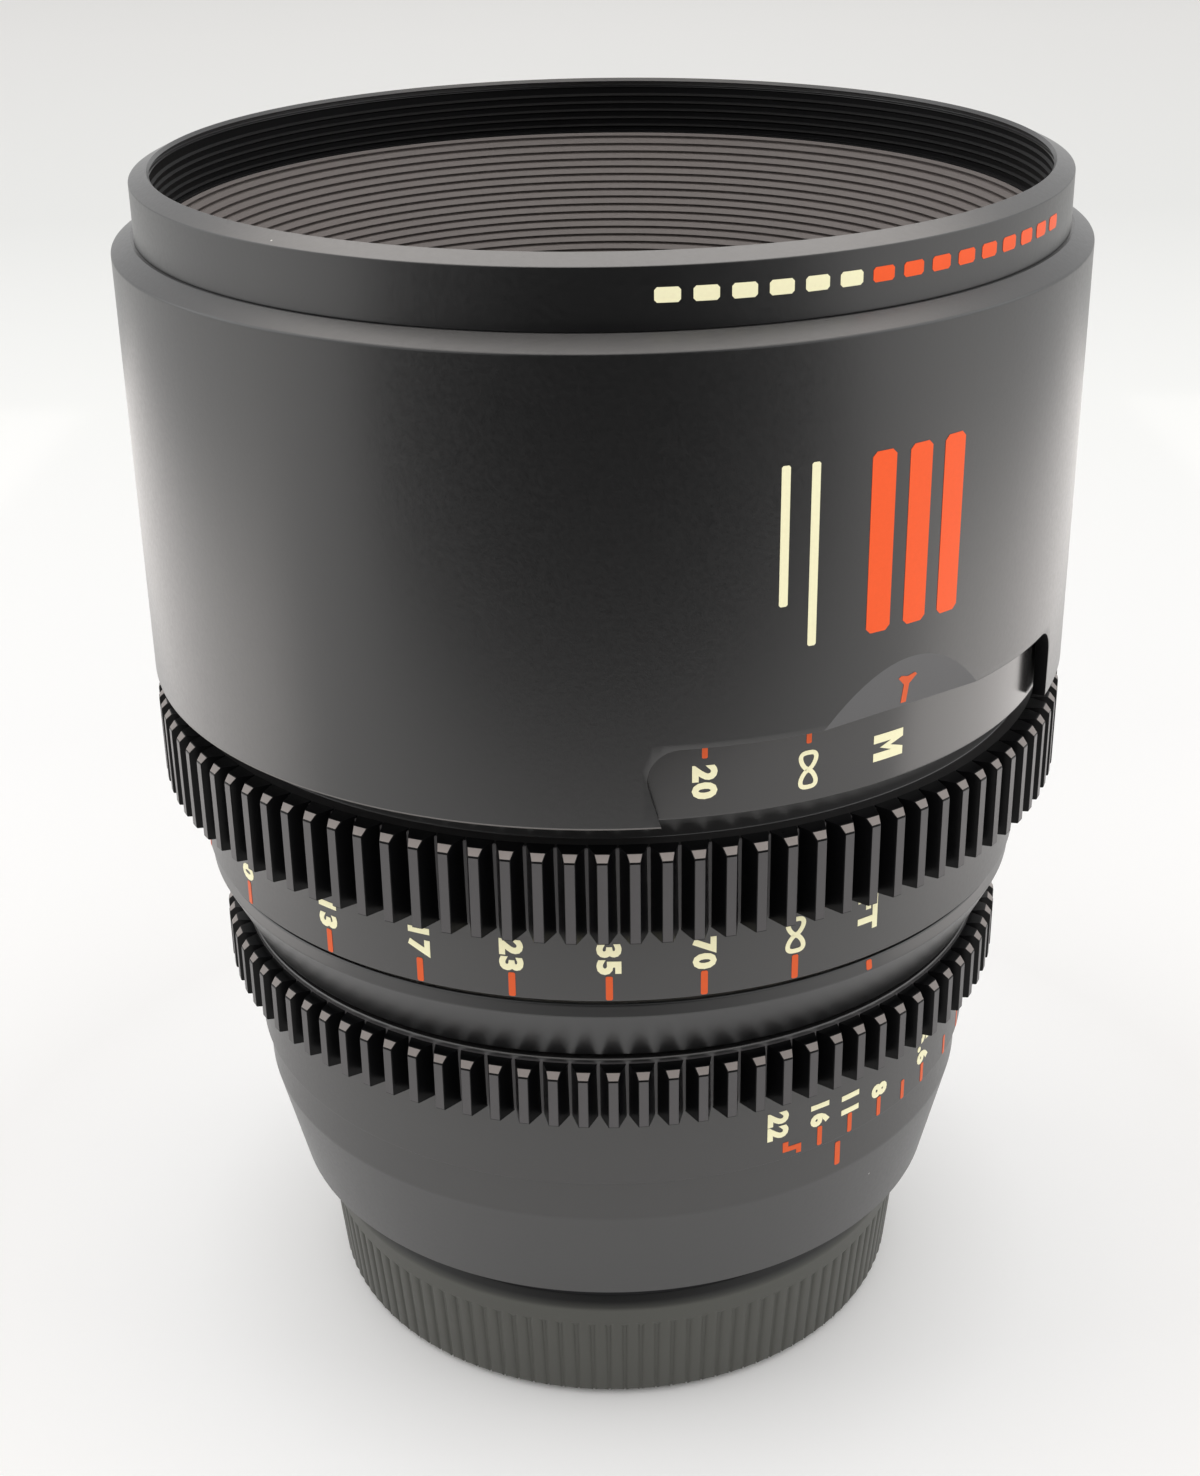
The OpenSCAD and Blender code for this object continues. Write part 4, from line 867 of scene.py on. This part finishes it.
# %% Cap shell
RIB_OUT, RIB_LOW, RIB_HIGH = 0.22, 1.2, 9.0
CAP_FOOT_R, CAP_RIM_R, CAP_EDGE, CAP_BAND_Z = 28.7, 29.7, 0.8, 11.3
CAP_TOP, COLLAR_TOP, CAP_FLOOR = 12.45, 12.4, 1.8


def cap_wall_r(z):
    return CAP_FOOT_R + (CAP_RIM_R - CAP_FOOT_R)*(z - CAP_EDGE)/(CAP_BAND_Z - CAP_EDGE)


cap = turned("ribbed_cap", cap_plastic, [
    (0, 0), (CAP_FOOT_R - CAP_EDGE - RIB_OUT, 0, 0.3), (CAP_FOOT_R - RIB_OUT, CAP_EDGE, 0.5),
    (cap_wall_r(RIB_HIGH) - RIB_OUT, RIB_HIGH, 0.1), (cap_wall_r(RIB_HIGH + 0.5), RIB_HIGH + 0.5, 0.2),
    (CAP_RIM_R, CAP_BAND_Z, 0.5), (28.9, CAP_TOP, 0.2), (26.9, CAP_TOP, 0.2), (26.9, CAP_FLOOR),
    (25.0, CAP_FLOOR), (25.0, COLLAR_TOP, 0.2), (23.7, COLLAR_TOP, 0.2), (23.7, CAP_FLOOR), (0, CAP_FLOOR)],
    0.15, 360)
print("cap shell:", len(cap.data.polygons), "faces")

# %% Cap ribs and lugs
CAP_RIBS, RIB_W, RIB_SUNK = 120, 1.25, 0.4
shape = bmesh.new()
rows = []
for z, out in ((RIB_LOW - 0.6, -0.3), (RIB_LOW, 0.0), (RIB_HIGH, 0.0), (RIB_HIGH + 0.55, 0.0)):
    wall = cap_wall_r(z)
    row = [(wall - RIB_OUT - RIB_SUNK, -RIB_W/2)]
    for share in (-1, -0.9, -0.7, -0.4, 0, 0.4, 0.7, 0.9, 1):
        row.append((wall - RIB_OUT + (RIB_OUT + out)*(1 - share**4), share*RIB_W/2))
    row.append((wall - RIB_OUT - RIB_SUNK, RIB_W/2))
    rows.append([shape.verts.new(Vector((x, y, z))*MM) for x, y in row])
walls(shape, rows)
shape.faces.new(rows[0])
shape.faces.new(rows[-1])
bmesh.ops.recalc_face_normals(shape, faces=shape.faces)
ribs = ring_of(piece_from(shape, "cap_ribs", cap_plastic), CAP_RIBS, cap_plastic)
LUGS, LUG_MID, LUG_ARC, LUG_LOW, LUG_TOP = 3, 60, 40, 9.9, 11.9
LUG_IN_R, LUG_OUT_R, LUG_STEPS = 21.8, 24.0, 12
lug_az = [LUG_MID - LUG_ARC/2 + LUG_ARC*k/LUG_STEPS for k in range(LUG_STEPS + 1)]
outline = [(az, LUG_TOP) for az in lug_az] + [(az, LUG_LOW) for az in reversed(lug_az)]
lug = piece_from(radial_prism(outline, LUG_IN_R, LUG_OUT_R), "cap_lugs", cap_plastic)
joined(cap, ribs, ring_of(lug, LUGS, cap_plastic))
settle(cap, "rear_cap", "cap_plastic", "rear_cap")

# %% [markdown]
# ## Marks on the rings
# The scales are engraved and filled with enamel. Each numeral starts as flat text, is made a mesh, and is
# cut into narrow strips so that it can bend. Then every point is carried onto the ring: one flat axis
# becomes the azimuth, the other the height, and the thickness a small step out of the surface.


# %% Flat text
MARK_T = 0.03
STRIP = 0.7

def strips(shape, axis, low, high):
    """Cuts a flat mesh into strips so that it can follow a round surface."""
    normal = Vector((1, 0, 0)) if axis == 0 else Vector((0, 1, 0))
    place = low + STRIP
    while place < high:
        everything = shape.verts[:] + shape.edges[:] + shape.faces[:]
        bmesh.ops.bisect_plane(shape, geom=everything, plane_co=normal*place, plane_no=normal)
        place += STRIP


def text_shape(words, height, width=1.1, bold=0.056, spacing=1.14):
    """Flat text as a bmesh, centred, in millimetres, with a thickness."""
    curve = bpy.data.curves.new("words", "FONT")
    curve.body = words
    curve.size = 1.0
    curve.offset = bold
    curve.space_character = spacing
    curve.extrude = 0.5
    curve.resolution_u = 3
    holder = bpy.data.objects.new("words", curve)
    link(holder)
    bpy.context.view_layer.update()
    mesh = bpy.data.meshes.new_from_object(holder.evaluated_get(bpy.context.evaluated_depsgraph_get()))
    bpy.data.objects.remove(holder)
    shape = bmesh.new()
    shape.from_mesh(mesh)
    bmesh.ops.remove_doubles(shape, verts=shape.verts, dist=1e-5)
    spans = [(min(v.co[k] for v in shape.verts), max(v.co[k] for v in shape.verts)) for k in (0, 1)]
    tall = height/(spans[1][1] - spans[1][0])
    for vert in shape.verts:
        vert.co.x = (vert.co.x - (spans[0][0] + spans[0][1])/2)*tall*width
        vert.co.y = (vert.co.y - (spans[1][0] + spans[1][1])/2)*tall
        vert.co.z *= 2*MARK_T
    return shape
print("flat text ready")


# %% Bars and signs
BAR_CORNER, INFINITY_STEPS, INFINITY_BULGE = 0.18, 48, 0.65


def outline_shape(points):
    """Flat closed outline as a thin solid, in millimetres."""
    shape = bmesh.new()
    face = shape.faces.new([shape.verts.new((x, y, MARK_T)) for x, y in points])
    face.normal_update()
    if face.normal.z < 0:
        face.normal_flip()
    lower = bmesh.ops.extrude_face_region(shape, geom=[face])
    for vert in [v for v in lower["geom"] if isinstance(v, bmesh.types.BMVert)]:
        vert.co.z = -MARK_T
    bmesh.ops.recalc_face_normals(shape, faces=shape.faces)
    bmesh.ops.triangulate(shape, faces=shape.faces)
    return shape


def bar_shape(width, height):
    """Small bar with cut corners."""
    w, h, c = width/2, height/2, min(width, height)*BAR_CORNER
    return outline_shape([(-w + c, -h), (w - c, -h), (w, -h + c), (w, h - c), (w - c, h), (-w + c, h),
                          (-w, h - c), (-w, -h + c)])


def infinity_shape(width, height, stroke):
    """Lying eight drawn as a ribbon of even width round a lemniscate."""
    shape = bmesh.new()
    path = []
    for k in range(INFINITY_STEPS):
        t = 2*math.pi*k/INFINITY_STEPS
        bulge = math.copysign(abs(math.sin(2*t))**INFINITY_BULGE, math.sin(2*t))
        path.append(Vector((width/2*math.cos(t), height/2*bulge)))
    rows = []
    for k, point in enumerate(path):
        along = (path[(k + 1) % INFINITY_STEPS] - path[k - 1]).normalized()
        side = Vector((-along.y, along.x))*stroke/2
        ends = ((-1, -1), (1, -1), (1, 1), (-1, 1))
        rows.append([shape.verts.new((*(point + s*side), z*MARK_T)) for s, z in ends])
    walls(shape, rows + rows[:1])
    bmesh.ops.recalc_face_normals(shape, faces=shape.faces)
    return shape


print("bars and signs ready")


# %% Wrapping marks
class Marks:
    """Collects flat marks, bends them onto a cone and makes one piece of each colour."""

    def __init__(self, name, body, low, high):
        self.name, self.body = name, body
        self.low, self.high = low, high
        self.shapes = {}

    def radius(self, z):
        share = (z - self.low[1])/(self.high[1] - self.low[1])
        return self.low[0] + (self.high[0] - self.low[0])*share

    def put(self, shape, az, z, enamel, upright=False):
        """Sideways marks run down the ring with their tops towards growing azimuth."""
        axis = 0 if upright else 1
        reach = [v.co[axis] for v in shape.verts]
        strips(shape, axis, min(reach), max(reach))
        for vert in shape.verts:
            across, along = (vert.co.x, vert.co.y) if upright else (vert.co.y, -vert.co.x)
            height = z + along
            r = self.radius(height) + vert.co.z
            vert.co = on_axis(az + math.degrees(across/self.radius(z)), r, height)
        target = self.shapes.setdefault(enamel.name, (enamel, bmesh.new()))[1]
        flat_mesh = bpy.data.meshes.new("mark")
        shape.to_mesh(flat_mesh)
        shape.free()
        target.from_mesh(flat_mesh)
        bpy.data.meshes.remove(flat_mesh)

    def tick(self, size, az, z):
        self.put(bar_shape(*size), az, z, tick_enamel, upright=True)

    def stand(self, shape, az, low, enamel):
        """Sideways mark whose end nearest the tick stands at one height."""
        reach = max(v.co.x for v in shape.verts)
        self.put(shape, az, low + reach, enamel)

    def finish(self, slot):
        for enamel, shape in self.shapes.values():
            name = f"{self.name}_{enamel.name}"
            settle(piece_from(shape, name, enamel, MARK_SHARP), self.body, slot)


print("marks ready")

# %% [markdown]
# ## The distance scale in feet
# The marks crowd together for far distances. A simple rule fits the photographed places: the angle from
# infinity is one constant over the distance plus a small one. The nearer numbers, hidden behind the ring in
# the photograph, follow from the same rule.

# %% Distance marks
INFINITY_AZ, SCALE_TURN, SCALE_NEAR = 23.0, 830.2, 0.588
FEET = (70, 35, 23, 17, 13, 10, 8, 7, 6, 5, 4.5, 4, 3.5, 3.2, 3, 2.8, 2.6, 2.5)


def distance_az(feet):
    return INFINITY_AZ - SCALE_TURN/(feet + SCALE_NEAR)


FEET_TICK, FEET_TICK_Z, FEET_WORDS_Z, FEET_UNIT_AZ = (0.58, 2.25), 52.2, 53.5, 33.6
feet_scale = Marks("feet_scale", "focus", (FEET_R, FEET_LOW), (FEET_R, FEET_TOP))
for feet in FEET:
    az = distance_az(feet)
    feet_scale.tick(FEET_TICK, az, FEET_TICK_Z)
    feet_scale.stand(text_shape(f"{feet:g}", 2.05), az, FEET_WORDS_Z, cream_enamel)
feet_scale.tick(FEET_TICK, INFINITY_AZ, FEET_TICK_Z)
feet_scale.stand(infinity_shape(3.0, 1.45, 0.42), INFINITY_AZ, FEET_WORDS_Z, cream_enamel)
feet_scale.stand(text_shape("FT", 2.1), FEET_UNIT_AZ, FEET_WORDS_Z + 0.1, cream_enamel)
feet_scale.finish("gear_black")

# %% [markdown]
# ## The distance scale in metres
# The sleeve under the window carries the same distances in metres, so its marks follow the same rule after
# changing metres to feet.

# %% Metre marks
FEET_PER_METRE = 3.2808
METRES = (20, 10, 7, 5, 4, 3, 2.5, 2, 1.7, 1.5, 1.3, 1.2, 1.1, 1, 0.9, 0.8, 0.75)
METRE_TICK, METRE_TICK_Z, METRE_WORDS_Z = (0.45, 1.5), 74.3, 71.5
METRE_INFINITY_AZ, METRE_UNIT_AZ = 22.6, 33.3

metre_scale = Marks("metre_scale", "focus", (SLEEVE_R, SLEEVE_LOW), (SLEEVE_R, SLEEVE_TOP))
for metres in METRES:
    az = distance_az(metres*FEET_PER_METRE)
    metre_scale.tick(METRE_TICK, az, METRE_TICK_Z)
    metre_scale.put(text_shape(f"{metres:g}", 2.05, width=1.05), az, METRE_WORDS_Z, cream_enamel)
metre_scale.tick(METRE_TICK, METRE_INFINITY_AZ, METRE_TICK_Z)
metre_scale.put(infinity_shape(3.0, 1.35, 0.38), METRE_INFINITY_AZ, METRE_WORDS_Z - 0.25, cream_enamel)
HALF_W, HALF_H, LEG = 1.15, 1.5, 0.72
metre_scale.put(outline_shape([
    (-HALF_W, -HALF_H), (LEG - HALF_W, -HALF_H), (LEG - HALF_W, 0.3), (0, -0.85), (HALF_W - LEG, 0.3),
    (HALF_W - LEG, -HALF_H), (HALF_W, -HALF_H), (HALF_W, HALF_H), (HALF_W - LEG, HALF_H), (0, 0.2),
    (LEG - HALF_W, HALF_H), (-HALF_W, HALF_H)]), METRE_UNIT_AZ, METRE_WORDS_Z + 0.1, cream_enamel)
metre_scale.finish("black_anodised")

# %% [markdown]
# ## The stop scale
# Whole stops carry a number, and half stops a bare line. The spacing narrows towards the small stops, as
# the photograph shows. The last number stands beside its line, and the line is bent to reach it.

# %% Stop marks
STOPS = (("22", 26.7), ("16", 31.5), ("11", 37.2), ("8", 43.4), ("", 49.3), ("5.6", 55.0), ("", 63.7),
         ("4", 72.0), ("", 81.0), ("2.8", 90.0), ("", 98.0), ("2.1", 105.4))
LAST_STOP, LAST_WORDS_AZ, BENT_Z = "22", 24.3, 30.8
STOP_TICK, STOP_TICK_Z, STOP_WORDS_Z = (0.5, 2.0), 31.0, 32.1
BENT_TICK = ((-0.95, 0.75), (-0.4, 0.75), (-0.4, 0.2), (0.95, 0.2), (0.95, -0.75), (0.45, -0.75),
             (0.45, -0.3), (-0.95, -0.3))
stop_scale = Marks("stop_scale", "aperture", (STOP_R, STOP_LOW), (STOP_R, STOP_TOP))
for words, az in STOPS:
    if words == LAST_STOP:
        stop_scale.put(outline_shape(BENT_TICK), az, BENT_Z, tick_enamel, upright=True)
        az = LAST_WORDS_AZ
    else:
        stop_scale.tick(STOP_TICK, az, STOP_TICK_Z)
    if words:
        stop_scale.stand(text_shape(words, 2.1, width=1.0), az, STOP_WORDS_Z, cream_enamel)
stop_scale.finish("gear_black")

# %% [markdown]
# ## Fixed index marks and plain bars
# Three short orange lines show where to read the scales. The broad bars on the barrel and the short dashes
# on the rim are a plain design in the same enamel colours.

# %% Index marks
rear_index = Marks("rear_index", "root", (REAR_R, REAR_LOW), (REAR_R, REAR_TOP))
rear_index.tick((0.6, 2.5), 35.8, 27.7)
rear_index.finish("black_anodised")
middle_index = Marks("middle_index", "root", LIP_LOW, LIP_TOP)
middle_index.tick((0.6, 0.9), 34.7, 49.75)
middle_index.finish("satin_black")

FUNNEL = ((-0.27, -1.3), (0.27, -1.3), (0.27, 0.4), (0.95, 1.1), (0.7, 1.3), (0, 1.12), (-0.7, 1.3),
          (-0.95, 1.1), (-0.27, 0.4))
FUNNEL_Z = 76.7
shape = outline_shape(FUNNEL)
for vert in shape.verts:
    z = FUNNEL_Z + vert.co.y
    flat_r = BARREL_R - flat_depth + (z - WINDOW_TOP)*math.tan(lean)
    vert.co = to_window @ (Vector((flat_r + vert.co.z, vert.co.x, z))*MM)
settle(piece_from(shape, "window_index", tick_enamel, MARK_SHARP), "root", "black_anodised")

# %% Plain bars
BARS_TOP, WIDE_BAR, THIN_BAR = 97.0, 2.2, 0.7
BARS = ((29.5, 82.5, WIDE_BAR, orange_enamel), (34.3, 82.5, WIDE_BAR, orange_enamel),
        (39.1, 82.5, WIDE_BAR, orange_enamel), (21.5, 82.5, THIN_BAR, cream_enamel),
        (18.2, 86.0, THIN_BAR, cream_enamel))
barrel_bars = Marks("barrel_bars", "root", (BARREL_R, BARREL_LOW), (BARREL_R, SHOULDER_Z))
for az, low, width, enamel in BARS:
    barrel_bars.put(bar_shape(width, BARS_TOP - low), az, (low + BARS_TOP)/2, enamel, upright=True)
barrel_bars.finish("black_anodised")
DASHES, CREAM_DASHES, DASH_AZ, DASH_STEP, DASH_Z = 15, 6, 6.5, 4.0, 109.6
rim_bars = Marks("rim_bars", "root", (RIM_R, RIM_SEAT), (RIM_R, RIM_TOP))
for k in range(DASHES):
    enamel = cream_enamel if k < CREAM_DASHES else orange_enamel
    rim_bars.put(bar_shape(1.9, 1.1), DASH_AZ + DASH_STEP*k, DASH_Z, enamel, upright=True)
rim_bars.finish("satin_black")

# %% [markdown]
# ## Finishes of the frame's own nodes
# The inside keeps its CAD shape. Each node takes the finish of its material slot in the record.

# %% Node finishes
painted = 0
for row in frame["record"]["subparts"]:
    mesh = nodes[row["node"]].data
    mesh.materials.clear()
    mesh.materials.append(FINISHES[row["material_slot"]])
    painted += 1
print("finished nodes:", painted)

# %% [markdown]
# ## Floor and light
# A plain pale sheet carries the lens. Its colour darkens a little with distance, painted shade for the
# light's falloff, and turns whiter close round the lens, painted light against the shadow there. Wide soft
# lamps stand at both sides and above. Cards stand round the lens as in a studio and show only in
# reflections: dark ones in front give the dark band down the middle of the barrel, and white ones give its
# pale edges.

# %% Floor
shape = bmesh.new()
bmesh.ops.create_grid(shape, x_segments=1, y_segments=1, size=4.0)
floor_paper, shader, place = new_finish("floor_paper", {"Specular IOR Level": 0.2})
away = place.node("SeparateXYZ", None, {"Vector": place}, "Y")
# The colour ramp along the sheet, darker far from the lens, is painted shade.
painted_falloff_shade = place.node("ValToRGB", {"stops": [
    (0.0, srgb(248, 246, 244)), (0.18, srgb(232, 231, 230)), (0.37, srgb(227, 227, 225)),
    (0.58, srgb(217, 217, 215)), (1.0, srgb(223, 222, 220))]}, {"Fac": (away + 0.05)*1.05})
fibre = noise(place, 900.0)
# Close round the lens the colour is mixed towards white: painted light against the lens's own shadow.
reach = place.node("VectorMath", {"operation": "LENGTH"}, {"Vector": place}, "Value")
near = place.node("MapRange", None, {
    "Value": reach, "From Min": 0.072, "From Max": 0.045}, "Result")
feed(shader, "Base Color", mixed(near, painted_falloff_shade, srgb(255, 254, 253)))
feed(shader, "Roughness", 0.85 + 0.1*fibre)
floor = piece_from(shape, "floor", floor_paper)
print("floor laid")


# %% Cards
def reflected_card(name, corners, material):
    """Flat card that only reflections show."""
    shape = bmesh.new()
    shape.faces.new([shape.verts.new(corner) for corner in corners])
    card = piece_from(shape, name, material)
    card.visible_camera = False
    card.visible_diffuse = False
    card.visible_shadow = False


def white_card(name, strength):
    material, shader, place = new_finish(name, {"Emission Strength": strength, "Roughness": 1.0})
    sheen = noise(place, 4.0)
    feed(shader, "Emission Color", mixed(sheen, srgb(255, 246, 240), srgb(255, 249, 244)))
    return material


card_black = grained("card_black", srgb(8, 8, 8), 1.0, specular=0.0)
side_white = white_card("side_white", 1.3)
near_white = white_card("near_white", 1.5)
top_white = white_card("top_white", 2.4)
LIFT, CARD_Z, SCREEN_Y = 0.002, 0.95, -1.1
reflected_card("front_card", [
    (-0.2, -0.18, LIFT), (0.31, -0.185, LIFT), (0.85, -1.2, LIFT), (-0.85, -1.2, LIFT),
    (-0.42, -0.28, LIFT)], card_black)
reflected_card("front_screen", [
    (-0.5, SCREEN_Y, 0), (0.5, SCREEN_Y, 0), (0.5, SCREEN_Y, 0.8), (-0.5, SCREEN_Y, 0.8)], card_black)
for side in (-1, 1):
    reflected_card("side_card", [
        (side*0.14, -0.06, LIFT), (side*0.12, 0.3, LIFT), (side*0.27, 0.3, LIFT),
        (side*0.27, -0.06, LIFT)], side_white)
ABOVE = (("near_card", -0.6, 0.22, near_white), ("top_card", 0.22, 1.2, top_white))
for name, near, far, material in ABOVE:
    reflected_card(name, [
        (-0.6, near, CARD_Z), (0.6, near, CARD_Z), (0.6, far, CARD_Z), (-0.6, far, CARD_Z)], material)
print("cards placed")


# %% Lamps
def soft_lamp(name, place, aim, size, watts):
    lamp = bpy.data.lights.new(name, "AREA")
    lamp.shape = "RECTANGLE"
    lamp.size, lamp.size_y = size
    lamp.energy = watts
    holder = bpy.data.objects.new(name, lamp)
    holder.location = place
    holder.rotation_euler = (Vector(aim) - Vector(place)).to_track_quat("-Z", "Y").to_euler()
    link(holder)


soft_lamp("left_lamp", (-0.75, 0.05, 0.45), (0, 0, 0.06), (0.7, 0.8), 1.75)
soft_lamp("right_lamp", (0.75, 0.0, 0.45), (0, 0, 0.06), (0.7, 0.8), 1.35)
soft_lamp("top_lamp", (0, 0.15, 0.95), (0, 0, 0.05), (0.9, 0.9), 1.75)

world = bpy.data.worlds.new("studio")
bpy.context.scene.world = world
world.use_nodes = True
sky = world.node_tree.nodes["Background"]
sky.inputs["Color"].default_value = (1, 1, 1, 1)
sky.inputs["Strength"].default_value = 0.91
bpy.context.scene.view_settings.view_transform = "Standard"
print("lamps and world")
